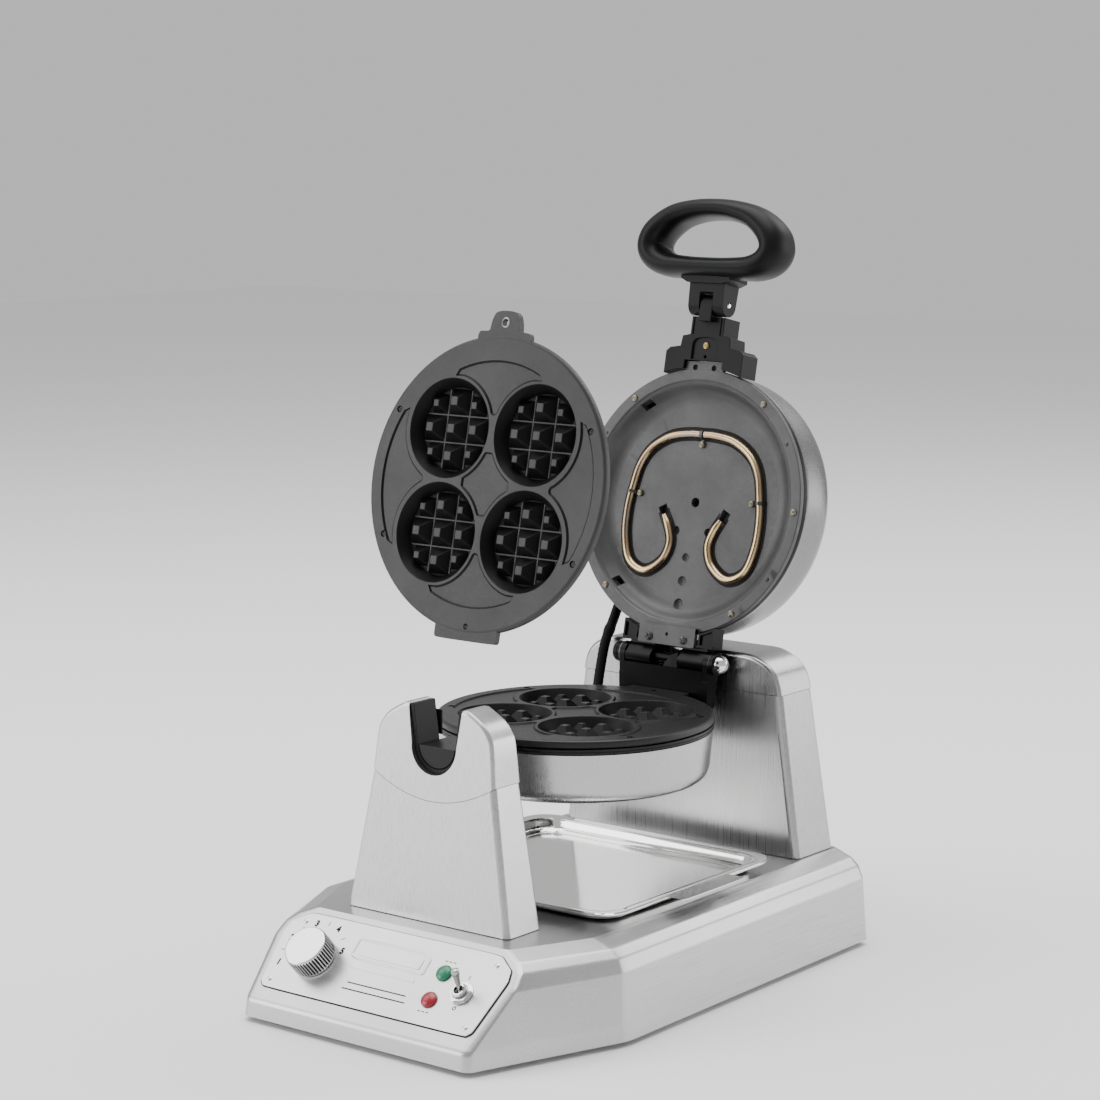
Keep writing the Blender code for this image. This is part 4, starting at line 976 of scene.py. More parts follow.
def cooking_plate(prefix, place, body, node, paint):
    """Plate with four peg-floored cavities, pockets between them, screws, tab and tongue."""
    casting = lathe(((0.0300, -PLATE_FLANGE), (PLATE_R - 0.0010, -PLATE_FLANGE),
                     (PLATE_R, -PLATE_FLANGE + 0.0010), (PLATE_R, -0.0020), (PLATE_R - 0.0004, -0.0008),
                     (PLATE_R - 0.0014, -0.0001), (PLATE_R - 0.0024, 0.0), (0.0300, 0.0)), ROUND)
    tab = [(-0.0232, 0.0940), (0.0232, 0.0940), (0.0232, 0.1036), (0.0218, 0.1062), (0.0134, 0.1066),
           (0.0126, 0.1130), (0.0095, 0.1210), (-0.0095, 0.1210), (-0.0126, 0.1130), (-0.0134, 0.1066),
           (-0.0218, 0.1062), (-0.0232, 0.1036)]
    tongue = [(-0.0275, -0.0940), (-0.0275, -0.1072), (-0.0258, -0.1090), (0.0258, -0.1090),
              (0.0275, -0.1072), (0.0275, -0.0940)]
    tabs = prism(rounded(tab, (0.0, 0.0, 0.3, 0.3, 0.25, 0.25, 0.42, 0.42, 0.25, 0.25, 0.3, 0.3), 5),
                 -PLATE_FLANGE + 0.0010, -0.0003)
    prism(rounded(tongue, (0.0, 0.2, 0.3, 0.3, 0.2, 0.0), 4), -PLATE_FLANGE + 0.0010, -0.0003, tabs)
    bowls = (bmesh.new(), bmesh.new())
    spaces, posts, pockets, bounds, lines = (bmesh.new() for _ in range(5))
    floor = -CAV_DEPTH
    for index, (sx, sy) in enumerate(QUARTERS):
        cx, cy = sx * CAV_X, sy * CAV_Y
        lathe(((CAV_R + 0.0024, -0.0030), (CAV_R + 0.0004, floor - 0.0012),
               (CAV_FLOOR_R + 0.0010, floor - 0.0032)), 64, data=bowls[index % 2], x=cx, y=cy)
        lathe(((CAV_FLOOR_R - 0.0012, floor), (CAV_FLOOR_R, floor + 0.0004),
               (CAV_FLOOR_R + 0.0006, floor + 0.0016), (CAV_R - 0.0006, -0.0009), (CAV_R + 0.0002, -0.0001),
               (CAV_R + 0.0010, 0.0004), (CAV_R + 0.0012, 0.003)), 80, data=spaces, x=cx, y=cy)
        cavity_pegs(posts, cx, cy, floor)
        lathe(((CAV_FLOOR_R - 0.0001, floor - 0.0006), (CAV_R - 0.0002, -0.0006)), 80, data=bounds, x=cx,
              y=cy)
        for step in (-0.5, 0.5):
            offset = PITCH * step
            long = math.sqrt((CAV_FLOOR_R - 0.0004) ** 2 - offset ** 2)
            block((cx - long, cy + offset - 0.0005, floor - 0.0004),
                  (cx + long, cy + offset + 0.0005, floor + 0.0006), lines)
            block((cx + offset - 0.0005, cy - long, floor - 0.0004),
                  (cx + offset + 0.0005, cy + long, floor + 0.00062), lines)
    for turn in range(4):
        spin = Matrix.Rotation(math.radians(90 * turn), 2)
        if turn % 2:
            shape = crescent(CAV_X, CAV_Y, 0.0922, 0.0052, 0.0016)
        else:
            shape = crescent(CAV_Y, CAV_X, 0.0850, 0.0036, 0.0016)
        pocket([tuple(spin @ Vector(p)) for p in shape], pockets)
    pocket(star(), pockets)
    holes = rod(0.0026, -0.02, 0.01, 32, y=TAB_HOLE_Y)
    rod(0.0022, -0.02, 0.01, 28, data=holes, y=TONGUE_HOLE_Y)
    for x, y in RIM_SCREWS:
        lathe(((0.0024, -0.0022), (0.0026, 0.01)), 24, data=holes, x=x, y=y)
    stack = [plus("tabs", tabs, place), plus("bowls_a", bowls[0], place), plus("bowls_b", bowls[1], place),
             less("spaces", spaces, place), less("pockets", pockets, place), less("holes", holes, place)]

    def painted_shade_faces(spot, normal):
        """Faces given painted shade: cavity floors and walls, and the sloping edges of the shallow pockets.
        """
        near = min(math.hypot(spot.x - sx * CAV_X, spot.y - sy * CAV_Y) for sx, sy in QUARTERS)
        if near < CAV_R + 0.0006:
            return -0.0104 < spot.z < -0.0004 and normal.z > -0.1
        return spot.xy.length < 0.095 and -0.0015 < spot.z < -0.0001 and abs(normal.z) < 0.92

    # The cavities and the pocket slopes take the darker coat as painted shade.
    piece(prefix + "_casting", casting, place, paint, body, node, cuts=stack, sharp=34,
          painted_shade_coat=(GRID_SHADE_PAINT, painted_shade_faces))
    # The pegs' side faces take the darker coat as painted shade.
    piece(prefix + "_pegs", posts, place, paint, body, slot=node, sharp=30,
          cuts=[("INTERSECT", cutter("bounds", bounds, place))], bevel=0.0003, steps=2,
          painted_shade_coat=(GRID_SHADE_PAINT, lambda spot, normal: normal.z < 0.75))
    piece(prefix + "_floor_lines", lines, place, paint, body, slot=node)
    for index, (x, y) in enumerate(RIM_SCREWS):
        screw(f"{prefix}_rim_screw_{index + 1}", at(place, x, y, -0.0021), 0.0021, 0.0017, body, SCREW,
              slot=node)
    collar = lathe(((0.0026, -0.0008), (0.0034, -0.0008), (0.0036, -0.0001), (0.0032, 0.0001),
                    (0.0027, -0.0001)), 32, True)
    piece(prefix + "_tab_eyelet", collar, at(place, 0.0, TAB_HOLE_Y), ZINC, body, slot=node)


# ---- lower head ---------------------------------------------------------------------------
def cup(profile, skin):
    """Turned bowl of one thickness, given its outer profile from the rim down to the middle."""
    inner = [(radius - skin, z + skin * (0 if i < 2 else 1)) for i, (radius, z) in enumerate(profile)]
    return lathe([*reversed(inner), *profile], 128)


def lower_head():
    low = SHELL_LOW_Z
    profile = [(0.1024, RIM_Z - GAP), (0.1031, RIM_Z - GAP - 0.0003), (0.1030, RIM_Z - 0.0018)]
    profile += [(radius, low + z) for radius, z in
                ((0.1005, 0.0110), (0.0999, 0.0078), (0.0988, 0.0050), (0.0971, 0.0028), (0.0948, 0.0012),
                 (0.0918, 0.0003), (0.0880, 0.0), (0.0840, 0.0), (0.0836, 0.0004), (0.0826, 0.0004),
                 (0.0822, 0.0), (0.0200, 0.0))]
    piece("lower_bowl", cup(profile, 0.0012), WORLD, STEEL_BOWL, "head", "lower_shell")
    ring = ((0.0962, 0.0), (0.1034, 0.0), (0.1036, 0.0003), (0.1036, 0.0014), (0.1031, 0.0016),
            (0.1031, 0.0020), (0.1036, 0.0022), (0.1036, 0.0033), (0.1033, 0.0036), (0.0962, 0.0036))
    band = lathe([(radius, RIM_Z + z) for radius, z in ring], ROUND, True)
    piece("lower_band", band, WORLD, RIM, "head", "lower_rim")
    cooking_plate("lower", LOWER, "lower_grid", "lower_plate", GRID)
    turns = [math.pi * i / 32 for i in range(33)]
    arc = [(JOURNAL_R * math.cos(turn), FLIP_Z - max(0.0012, JOURNAL_R * math.sin(turn))) for turn in turns]
    seat = less("seat", block((-0.0300, -0.1235, 0.1904), (0.0300, -0.1000, 0.2100)))
    piece("front_half_journal", prism(arc, 0.1055, 0.1600), ALONG_Y, RIM, "head", "front_journal",
          cuts=[seat], bevel=0.0008, steps=3)
    yoke()


def yoke():
    hy, hz = HINGE.y, HINGE.z
    body = prism([(0.1048, 0.1760), (0.1178, 0.1760), (0.1178, 0.2050), (0.1120, 0.2080), (0.1104, 0.2050),
                  (0.1104, 0.1900), (0.1048, 0.1895)], -0.0420, 0.0420)
    ears = bmesh.new()
    for low, high in ((-0.0418, -0.0372), (0.0372, 0.0418)):
        prism([(0.1106, 0.1800), (0.1176, 0.1800), *arc_points(hy, hz, 0.0088, 0, 180, 20)], low, high, ears)
    saddle = prism([(0.1104, 0.2030), (0.1178, 0.2030), *arc_points(hy, hz, 0.0094, 260, 214, 8),
                    (0.1104, 0.2132)], -0.0372, 0.0372)
    web = []
    for x, top in ((-0.0124, 0.2090), (-0.0085, 0.2078), (-0.0040, 0.2112), (0.0010, 0.2180),
                   (0.0060, 0.2235), (0.0124, 0.2262)):
        web.append([(x, 0.1108, 0.2000), (x, 0.1172, 0.2000), (x, 0.1190, top - 0.0010), (x, 0.1175, top),
                    (x, 0.1150, top), (x, 0.1132, top - 0.0012)])
    bore = rod(PIN_BORE_R, -0.0500, 0.0500, 28, x=hy, y=hz)
    piece("hinge_yoke_body", body, ALONG_X, BLACK, "head", "hinge_yoke",
          cuts=[plus("ears", ears, ALONG_X), plus("saddle", saddle, ALONG_X), plus("web", loft(web)),
                less("yoke_bore", bore, ALONG_X)], bevel=0.0007, steps=3)
    for index, (low, high) in enumerate(((-0.0430, -0.0419), (0.0419, 0.0424))):
        washer = flat_ring(0.0050, 0.0086, low, high, 40)
        piece(f"hinge_washer_{index + 1}", washer, AT_HINGE, SCREW, "head", slot="hinge_nut")
    pin = [(0.0001, -0.0505), (0.0050, -0.0505), (0.0070, -0.0500), (0.0080, -0.0486), (0.0080, -0.0462),
           (0.0076, -0.0458), (0.0076, -0.0452), (0.0080, -0.0448), (0.0080, -0.0432), (0.0040, -0.0432),
           (0.0040, 0.0480)]
    piece("hinge_bolt", lathe(pin, 48), AT_HINGE, BLACK, "head", "hinge_pin")
    collar = lathe(((0.0044, 0.0425), (0.0087, 0.0425), (0.0090, 0.0430), (0.0090, 0.0462), (0.0086, 0.0468),
                    (0.0074, 0.0468), (0.0074, 0.0450), (0.0044, 0.0450)), 48, True)
    piece("hinge_nut_collar", collar, AT_HINGE, BLACK, "head", slot="hinge_pin")
    dome = [(0.0044, 0.0455), (0.0070, 0.0455), (0.0072, 0.0462)]
    dome += [(0.0072 * math.cos(math.radians(a)), 0.0478 + 0.0071 * math.sin(math.radians(a)))
             for a in range(0, 85, 9)]
    dome += [(0.0001, 0.0549), (0.0001, 0.0490), (0.0044, 0.0490)]
    piece("hinge_dome_nut", lathe(dome, 48, True), AT_HINGE, CHROME, "head", "hinge_nut")


# ---- lid ----------------------------------------------------------------------------------
HEATER_HALF = ((0.0270, -0.0120), (0.0212, -0.0220), (0.0183, -0.0340), (0.0240, -0.0480), (0.0395, -0.0572),
               (0.0550, -0.0500), (0.0618, -0.0305), (0.0628, -0.0100), (0.0604, 0.0080), (0.0560, 0.0260),
               (0.0466, 0.0400), (0.0300, 0.0500), (0.0120, 0.0532), (0.0, 0.0533))
HEATER_ENDS = ((0.0285, -0.0092, -27), (-0.0285, -0.0092, 27))
HEATER_R, HEATER_Z = 0.0031, -0.0100
PAN_SLOTS = ((-0.0522, 0.0728, 33, 0.0050, 0.0024), (-0.0590, -0.0680, -40, 0.0044, 0.0024))


def heater_path(depth, steps, beyond=0.0):
    right = [(x, y, depth) for x, y in HEATER_HALF]
    if beyond:
        right.insert(0, (HEATER_HALF[0][0] + beyond * 0.5, HEATER_HALF[0][1] + beyond, depth))
    left = [(-x, y, depth) for x, y, _ in reversed(right[:-1])]
    return smooth_path([*right, *left], steps)


def lid_pan():
    profile = [(0.0200, -0.0235), (0.0860, -0.0235), (0.0900, -0.0200), (0.0935, -0.0050),
               (PAN_R - 0.0004, -0.0050), (PAN_R, -0.0046), (PAN_R, -0.0006), (PAN_R - 0.0006, 0.0),
               (0.0956, 0.0), (0.0950, -0.0003), (0.0945, -0.0011), (0.0936, -0.0015), (0.0926, -0.0018),
               (0.0912, -0.0030), (0.0896, -0.0052), (0.0874, -0.0078), (0.0846, -0.0099), (0.0810, -0.0111),
               (0.0770, -PAN_DEPTH), (0.0200, -PAN_DEPTH)]
    tongues = bmesh.new()
    prism(rounded(oblong(0.0265, -0.1128, -0.0985), (0.06, 0.06, 0.0, 0.0), 3), 0.0002, 0.0040, tongues)
    root = block((-0.0265, -0.1015, -0.0030), (0.0265, -0.0975, 0.0040))
    block((-0.0172, 0.1000, -0.0048), (0.0172, 0.1090, -0.0002), tongues)
    channel = sweep(heater_path(-0.0112, 5, 0.0035), lambda i: (0.0056, 0.0026), ABOVE, 24)
    holes = rod(0.0038, -0.0200, 0.0, 32)
    lathe(((0.0013, -0.0100), (0.0015, 0.0100)), 16, data=holes, y=-0.1045)
    for x, y in ((-0.0150, -0.0233), (0.0155, -0.0225)):
        lathe(((0.0034, -0.0150), (0.0037, -0.0060)), 24, data=holes, x=x, y=y)
    for x, y, radius in ((-0.0025, -0.0435, 0.0034), (-0.0030, -0.0620, 0.0040), (-0.0035, -0.0800, 0.0043)):
        lathe(((radius * 0.25, -0.0139), (radius * 0.7, -0.0133), (radius, -0.0113), (radius, 0.0)), 28,
              data=holes, x=x, y=y)
    for x in (-0.0088, 0.0088):
        rod(0.0023, -0.0022, 0.0020, 24, data=holes, x=x, y=0.1045)
    slots = bmesh.new()
    for x, y, turn, wide, long in PAN_SLOTS:
        bar(long, wide, x, y, -0.0190, 0.0020, math.radians(turn), slots)
    for x, y, turn in HEATER_ENDS:
        bar(0.0050, 0.0040, x, y, -0.0200, -0.0050, math.radians(turn), slots)
    piece("lid_pan_casting", lathe(profile, ROUND), LID, PAN, "lid", "upper_pan",
          cuts=[plus("root", root, LID), plus("tongues", tongues, LID), less("channel", channel, LID),
                less("holes", holes, LID), less("slots", slots, LID)], bevel=0.0009, steps=3, sharp=36)
    # Dark plugs in the bottoms of the centre hole, the heater-end slots and the pan slots: painted shade in
    # these openings.
    dark = rod(0.0037, -0.0199, -0.0170, 24)
    for x, y, turn in HEATER_ENDS:
        bar(0.0049, 0.0039, x, y, -0.0199, -0.0165, math.radians(turn), dark)
    for x, y, turn, wide, long in PAN_SLOTS:
        bar(long - 0.0001, wide - 0.0001, x, y, -0.0189, -0.0130, math.radians(turn), dark)
    piece("lid_pan_painted_shade_plugs", dark, LID, DARK, "lid", slot="upper_pan")
    path = heater_path(HEATER_Z, 6)
    tube = sweep(path, lambda i: heater_size(i, len(path)), ABOVE, 20)
    piece("heater_tube", tube, LID, HEATER, "lid", "upper_heater")
    fittings()


def heater_size(index, total):
    """Tube radius, pinched to a short terminal at both ends."""
    edge = min(index, total - 1 - index)
    radius = HEATER_R if edge > 4 else 0.0020 + 0.00028 * edge
    return radius, radius


def strap(name, x, y, turn):
    """Thin strap folded over the tube and held by a screw on its inner side."""
    place = at(LID, x, y, 0.0, math.radians(turn))
    reach = 0.0037
    path = [Vector((0.0, -0.0100, -0.0112)), Vector((0.0, -0.0046, -0.0112))]
    path += [Vector((0.0, -reach * math.cos(math.radians(a)), HEATER_Z + reach * math.sin(math.radians(a))))
             for a in range(20, 165, 16)]
    path += [Vector((0.0, 0.0039, -0.0135))]
    rings = [[(-0.0013, spot.y, spot.z), (0.0013, spot.y, spot.z), (0.0013, spot.y, spot.z + 0.0005),
              (-0.0013, spot.y, spot.z + 0.0005)] for spot in path]
    piece(name + "_strap", loft(rings), place, SCREW, "lid", name)
    screw(name + "_screw", at(place, 0.0, -0.0080, -0.0106), 0.0026, 0.0020, "lid", BRASS_PALE, slot=name)


def on_ring(x, y, radius):
    """The spot in the direction of (x, y) at one radius from the middle."""
    reach = math.hypot(x, y)
    return x * radius / reach, y * radius / reach


def fittings():
    strap("heater_clip_1", 0.0, 0.0533, 0.0)
    strap("heater_clip_2", -0.0612, 0.0040, 84.0)
    strap("heater_clip_3", 0.0612, 0.0040, -84.0)
    for index, (x, y) in enumerate(((-0.0627, 0.0768), (0.0590, 0.0792), (0.0978, -0.0005), (0.0540, -0.0818),
                                    (-0.0672, -0.0720))):
        screw(f"pan_rim_screw_{index + 1}", at(LID, *on_ring(x, y, 0.0989), -0.0002), 0.0027, 0.0018, "lid",
              BRASS_PALE, slot="upper_pan", turn=0.3 + index)
    for index, (x, y) in enumerate(((0.0803, 0.0480), (0.0781, -0.0500), (-0.0884, 0.0492))):
        stud = lathe(((0.0016, -0.0002), (0.0016, 0.0003), (0.0011, 0.0006), (0.0001, 0.0007)), 20)
        piece(f"pan_stud_{index + 1}", stud, at(LID, *on_ring(x, y, 0.0985)), SCREW, "lid", slot="upper_pan")
    for index, x in enumerate((-0.0162, 0.0162)):
        screw(f"tongue_screw_{index + 1}", at(LID, x, -0.1076, 0.0039), 0.0034, 0.0018, "lid", SCREW,
              slot="upper_pan", turn=0.5 - index)
    for index, x in enumerate((-0.0088, 0.0088)):
        screw(f"top_screw_{index + 1}", at(LID, x, 0.1045, -0.0024), 0.0021, 0.0012, "lid", DARK,
              slot="upper_pan")


def lid_body():
    lid_pan()
    ring = ((0.0957, -0.0095), (0.1034, -0.0095), (0.1036, -0.0092), (0.1036, -0.0058), (0.1033, -0.0055),
            (0.0957, -0.0055))
    piece("lid_band", lathe(ring, ROUND, True), LID, BLACK, "lid", "lid_rim")
    lip = [(0.1016, -0.0100), (0.1030, -0.0099), (0.1035, -0.0103), (0.1033, -0.0112)]
    wall = [(0.1031, -0.0140), (0.1030, -0.0230), (0.1028, -0.0310), (0.1025, -0.0375), (0.1018, -0.0415),
            (0.1004, -0.0447), (0.0980, -0.0469), (0.0945, -0.0483), (0.0900, -0.0492), (0.0840, -0.0497),
            (0.0620, -0.0499), (0.0612, -0.0495), (0.0596, -0.0495), (0.0588, -0.0499), (0.0200, -0.0499)]
    inner = [(0.0200, -0.0486), (0.0870, -0.0480), (0.0930, -0.0470), (0.0972, -0.0444), (0.0996, -0.0400),
             (0.1014, -0.0112)]
    piece("lid_dome", lathe([*inner, *lip, *wall], ROUND), LID, STEEL_LID_SHADED, "lid", "lid_shell")
    back = LID @ Matrix.Rotation(math.pi, 4, "X")
    for index in range(4):
        turn = math.radians(45 + 90 * index)
        screw(f"dome_screw_{index + 1}", at(back, 0.070 * math.cos(turn), 0.070 * math.sin(turn), 0.0496),
              0.0030, 0.0018, "lid", CHROME, slot="lid_shell")
    bracket()
    neck()


def bracket():
    """Black frame round the pan's tongue, with two lugs on the hinge bolt."""
    place = placed(HINGE, SIDE, UP)
    base_block = block((-0.0425, 0.0105, -0.0080), (0.0425, 0.0165, 0.0035))
    walls = bmesh.new()
    for side in (-1, 1):
        outline = ((0.0290, 0.0110), (0.0424, 0.0110), (0.0424, 0.0268), (0.0380, 0.0247), (0.0330, 0.0228),
                   (0.0290, 0.0214))
        prism([(side * x, y) for x, y in outline], -0.0078, 0.0066, walls)
    lip = block((-0.0300, 0.0106, 0.0030), (0.0300, 0.0122, 0.0066))
    pockets = bmesh.new()
    for side in (-1, 1):
        outline = ((0.0306, 0.0128), (0.0408, 0.0128), (0.0408, 0.0244), (0.0372, 0.0226), (0.0306, 0.0202))
        prism([(side * x, y) for x, y in outline], 0.0046, 0.0100, pockets)
    lugs = bmesh.new()
    lean = AT_HINGE @ Matrix.Rotation(-LEAN, 4, "Z")
    turns = [math.pi + math.pi * i / 20 for i in range(21)]
    arc = [(LUG_R * math.cos(turn), LUG_R * math.sin(turn)) for turn in turns]
    for low, high in ((-0.0366, -0.0130), (0.0130, 0.0366)):
        prism([*arc, (0.0078, 0.0120), (-0.0030, 0.0120), (-0.0030, 0.0085)], low, high, lugs)
    bore = rod(PIN_BORE_R, -0.0500, 0.0500, 28)
    piece("lid_bracket_frame", base_block, place, BLACK, "lid", "lid_bracket",
          cuts=[plus("walls", walls, place), plus("lip", lip, place), less("wall_pockets", pockets, place),
                plus("lugs", lugs, lean), less("lug_bore", bore, AT_HINGE)], bevel=0.0007, steps=3)


def neck():
    clear = 0.1049
    arc = [(x, math.sqrt(clear ** 2 - x ** 2))
           for x in (0.0365, 0.0330, 0.0300, 0.0270, 0.0240, 0.0210, 0.0178)]
    half = [*arc, (0.0178, 0.1096)]
    top = [(0.0155, 0.1440), (0.0155, 0.1300), (0.0225, 0.1285), (0.0235, 0.1205), (0.0330, 0.1190),
           (0.0365, 0.1160)]
    outline = [*mirrored(half), *[(-x, y) for x, y in reversed(top)], *top]
    tongue = prism([(0.1400, FOLD_N - 0.0078), *arc_points(FOLD_U, FOLD_N, 0.0078, -90, 90, 20),
                    (0.1400, FOLD_N + 0.0078)], -0.0058, 0.0058)
    bore = rod(FOLD_BORE_R, -0.0300, 0.0300, 24, x=FOLD_U, y=FOLD_N)
    pocket = [(-0.0120, 0.1105), (0.0120, 0.1105), (0.0120, 0.1235), (0.0095, 0.1268), (0.0, 0.1284),
              (-0.0095, 0.1268), (-0.0120, 0.1235)]
    recess = prism(rounded(pocket, (0.0, 0.0, 0.2, 0.3, 0.4, 0.3, 0.2), 3), 0.0012, 0.0100)
    holes = rod(0.0012, -0.0040, 0.0100, 16, y=0.1130)
    for side in (-1, 1):
        block((side * 0.0128 - 0.0006, 0.1300, 0.0022), (side * 0.0128 + 0.0006, 0.1432, 0.0060), holes)
    piece("handle_neck_body", prism(outline, -0.0180, 0.0030), LID, GRIP, "lid", "handle_neck",
          cuts=[plus("tongue", tongue, SIDE_ON), less("neck_bore", bore, SIDE_ON),
                less("neck_recess", recess, LID), less("neck_holes", holes, LID)], bevel=0.0012, steps=3)
    screw("neck_screw", at(LID, 0.0, 0.1215, 0.0010), 0.0028, 0.0018, "lid", BRASS, slot="handle_neck")
    grip()


def grip():
    """Loop handle: an oval tube, deeper than wide, on a forked stem that turns on the fold pin."""
    half = ((0.0, 0.1812), (0.0200, 0.1812), (0.0400, 0.1822), (0.0530, 0.1872), (0.0590, 0.1960),
            (0.0570, 0.2060), (0.0490, 0.2150), (0.0360, 0.2230), (0.0180, 0.2275))
    loop = [Vector((x, y, GRIP_N)) for x,
            y in [*half, (0.0, 0.2287), *[(-x, y) for x, y in reversed(half[1:])]]]
    loop = [Vector((p.x * 0.968, 0.1816 + (p.y - 0.1812) * 0.965, p.z)) for p in loop]
    path = []
    total = len(loop)
    for index in range(total):
        a, b, c, d = (loop[(index + k) % total] for k in (-1, 0, 1, 2))
        path += [curve_spot(a, b, c, d, step / 7) for step in range(7)]
    rings = []
    for index, spot in enumerate(path):
        along = (path[(index + 1) % len(path)] - path[index - 1]).normalized()
        across = along.cross(ABOVE).normalized()
        wide = 0.0078 + 0.0032 * min(1.0, abs(spot.x) / 0.055) ** 2
        ring = []
        for step in range(32):
            turn = math.tau * step / 32
            c, s = math.cos(turn), math.sin(turn)
            flat = math.copysign(abs(s) ** 0.82, s)
            ring.append(tuple(spot + across * wide * c + ABOVE * GRIP_DEEP * flat))
        rings.append(ring)
    stem = prism([*arc_points(FOLD_U, FOLD_N, 0.0088, -90, -270, 24), (0.1705, FOLD_N + 0.0100),
                  (0.1705, FOLD_N - 0.0100)], -0.0165, 0.0165)
    collar = prism([(-0.0165, 0.1690), (0.0165, 0.1690), (0.0228, 0.1720), (0.0228, 0.1800),
                    (-0.0228, 0.1800), (-0.0228, 0.1720)], FOLD_N - 0.0110, FOLD_N + 0.0140)
    slot_cut = block((-0.0064, 0.1400, -0.0300), (0.0064, 0.1625, 0.0300))
    bore = rod(FOLD_BORE_R, -0.0300, 0.0300, 24, x=FOLD_U, y=FOLD_N)
    piece("grip_loop", loft(rings, closed=True), LID, GRIP, "handle", "handle_grip", sharp=50)
    piece("grip_stem", stem, SIDE_ON, GRIP, "handle", slot="handle_grip", bevel=0.0011, steps=3,
          cuts=[plus("grip_collar", collar, LID), less("grip_slot", slot_cut, LID),
                less("grip_bore", bore, SIDE_ON)])
    pin = lathe(((0.0014, -0.0168), (0.0022, -0.0160), (0.0022, 0.0160), (0.0014, 0.0168)), 24, x=FOLD_U,
                y=FOLD_N)
    piece("grip_pin", pin, SIDE_ON, CHROME, "handle", "fold_pin")


# ---- conduit and cable gland ----------------------------------------------------------------
def conduit():
    points = [Vector(p)
              for p in ((-0.0645, 0.1402, 0.2516), (-0.0652, 0.1340, 0.2400), (-0.0655, 0.1235, 0.2230),
                        (-0.0640, 0.1150, 0.2030), (-0.0610, 0.1060, 0.1850), (-0.0588, 0.0960, 0.1720),
                        (-0.0575, 0.0915, 0.1690))]
    path = smooth_path(points, 10)
    path.reverse()

    def size(index):
        """Ribbed, with one thicker band."""
        ridge = 0.00016 if index % 2 else 0.0
        band = 0.0005 if index in (44, 45, 46) else 0.0
        return (0.0039 + ridge + band,) * 2

    data = sweep(path, size, SIDE, 20)
    bmesh.ops.remove_doubles(data, verts=data.verts, dist=1e-7)
    item = cutter("conduit_hose", data)
    for face in item.data.polygons:
        face.use_smooth = True
    item.data.materials.append(RUBBER)
    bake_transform(item)
    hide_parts("conduit")


def gland():
    place = ALONG_Y @ Matrix.Translation((0.070, 0.040, -BASE_REAR_Y - 0.0005))
    profile = [(0.0110, 0.0), (0.0110, -0.0054), (0.0098, -0.0062), (0.0076, -0.0070)]
    for index in range(5):
        z = -0.0080 - index * 0.0019
        profile += [(0.0074, z), (0.0074, z - 0.0010), (0.0062, z - 0.0012), (0.0062, z - 0.0017)]
    profile += [(0.0050, -0.0178), (0.0034, -0.0178), (0.0034, -0.0120)]
    piece("gland_boot", lathe(profile, 40), place, RUBBER, "base", "cable_gland")


# ---- pieces kept as they are in the frame ---------------------------------------------------
def keep(names, paint):
    for name in names:
        mesh = bpy.data.objects[name].data
        for index in range(len(mesh.materials)):
            mesh.materials[index] = paint


def kept():
    keep(("foot_1", "foot_2", "foot_3", "foot_4"), RUBBER)
    keep(("base_bottom_cover",), STEEL_X)
    keep(("thermostat", "switch_body", "rear_bearing", "rear_shaft"), ZINC)
    keep(("lower_pan",), PAN)
    keep(("lower_heater",), HEATER)
    keep(("terminal_block",), WHITE)


# ---- studio and camera --------------------------------------------------------------------
def softbox(name, where, target, power, size):
    data = bpy.data.lights.new(name, "AREA")
    data.energy = power
    data.shape = "RECTANGLE"
    data.size, data.size_y = size
    item = bpy.data.objects.new(name, data)
    item.location = where
    item.rotation_euler = (Vector(target) - Vector(where)).to_track_quat("-Z", "Y").to_euler()
    bpy.context.scene.collection.objects.link(item)


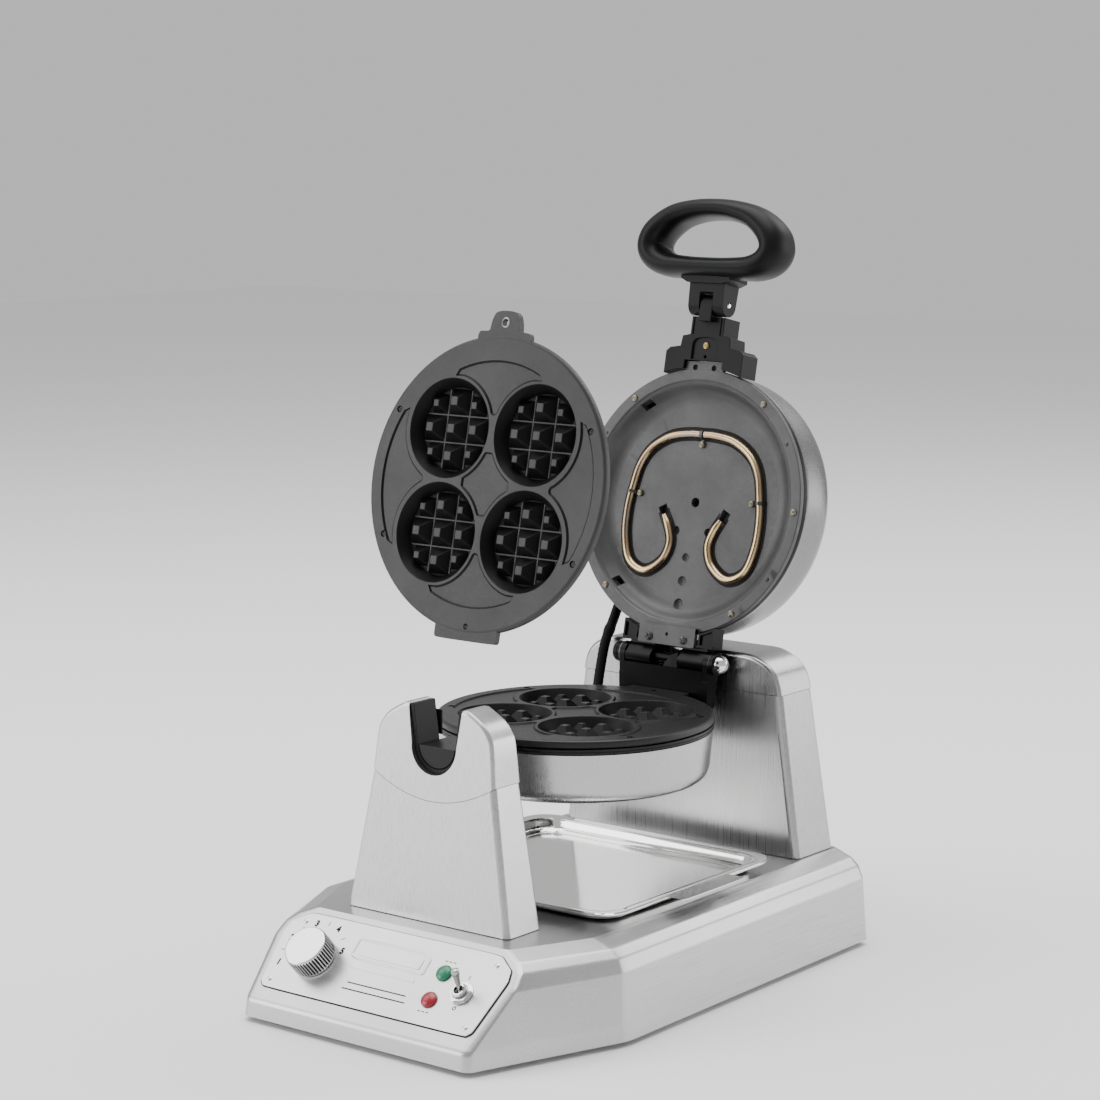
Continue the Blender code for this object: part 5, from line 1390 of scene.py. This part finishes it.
def studio():
    mat = bpy.data.materials.new("floor_white")
    mat.use_nodes = True
    shader = mat.node_tree.nodes["Principled BSDF"]
    shader.inputs["Base Color"].default_value = (0.93, 0.93, 0.93, 1.0)
    shader.inputs["Roughness"].default_value = 0.60
    data = block((-6.0, -6.0, -0.02), (6.0, 6.0, 0.0))
    mesh = bpy.data.meshes.new("studio_floor")
    data.to_mesh(mesh)
    data.free()
    floor = bpy.data.objects.new("studio_floor", mesh)
    mesh.materials.append(mat)
    bpy.context.scene.collection.objects.link(floor)
    world = bpy.data.worlds.new("soft_white")
    world.use_nodes = True
    world.node_tree.nodes["Background"].inputs["Color"].default_value = (1.0, 1.0, 1.0, 1.0)
    world.node_tree.nodes["Background"].inputs["Strength"].default_value = 0.62
    bpy.context.scene.world = world
    centre = (0.0, 0.0, 0.25)
    softbox("front_left_box", (-2.7, -2.7, 1.1), centre, 62, (2.4, 2.0))
    softbox("back_right_box", (2.5, 2.7, 0.9), centre, 40, (2.4, 1.8))
    softbox("back_high_box", (0.4, 2.5, 2.1), centre, 22, (1.6, 1.2))
    softbox("top_box", (-0.2, 0.2, 2.7), centre, 84, (2.4, 2.4))
    softbox("left_high_box", (-1.9, -0.9, 2.3), (0.0, -0.2, 0.05), 24, (1.6, 1.6))


def camera():
    turn, pitch = math.radians(CAMERA_TURN), math.radians(CAMERA_PITCH)
    right = Vector((math.cos(turn), math.sin(turn), 0.0))
    back = Vector((math.sin(turn) * math.cos(pitch), -math.cos(turn) * math.cos(pitch), math.sin(pitch)))
    above = back.cross(right)
    rows = Matrix((right, above, back)).transposed().to_4x4()
    rows.translation = CAMERA_AT
    data = bpy.data.cameras.new("camera")
    data.sensor_width = 36.0
    data.sensor_fit = "HORIZONTAL"
    data.lens = CAMERA_LENS
    data.clip_start, data.clip_end = 0.05, 60.0
    item = bpy.data.objects.new("camera", data)
    item.matrix_world = rows
    bpy.context.scene.collection.objects.link(item)
    bpy.context.scene.camera = item


base()
controls()
front_post()
rear_post()
tray()
lower_head()
lid_body()
cooking_plate("upper", OVER, "upper_grid", "upper_plate", GRID_UPPER_LIT)
conduit()
gland()
kept()
studio()
camera()
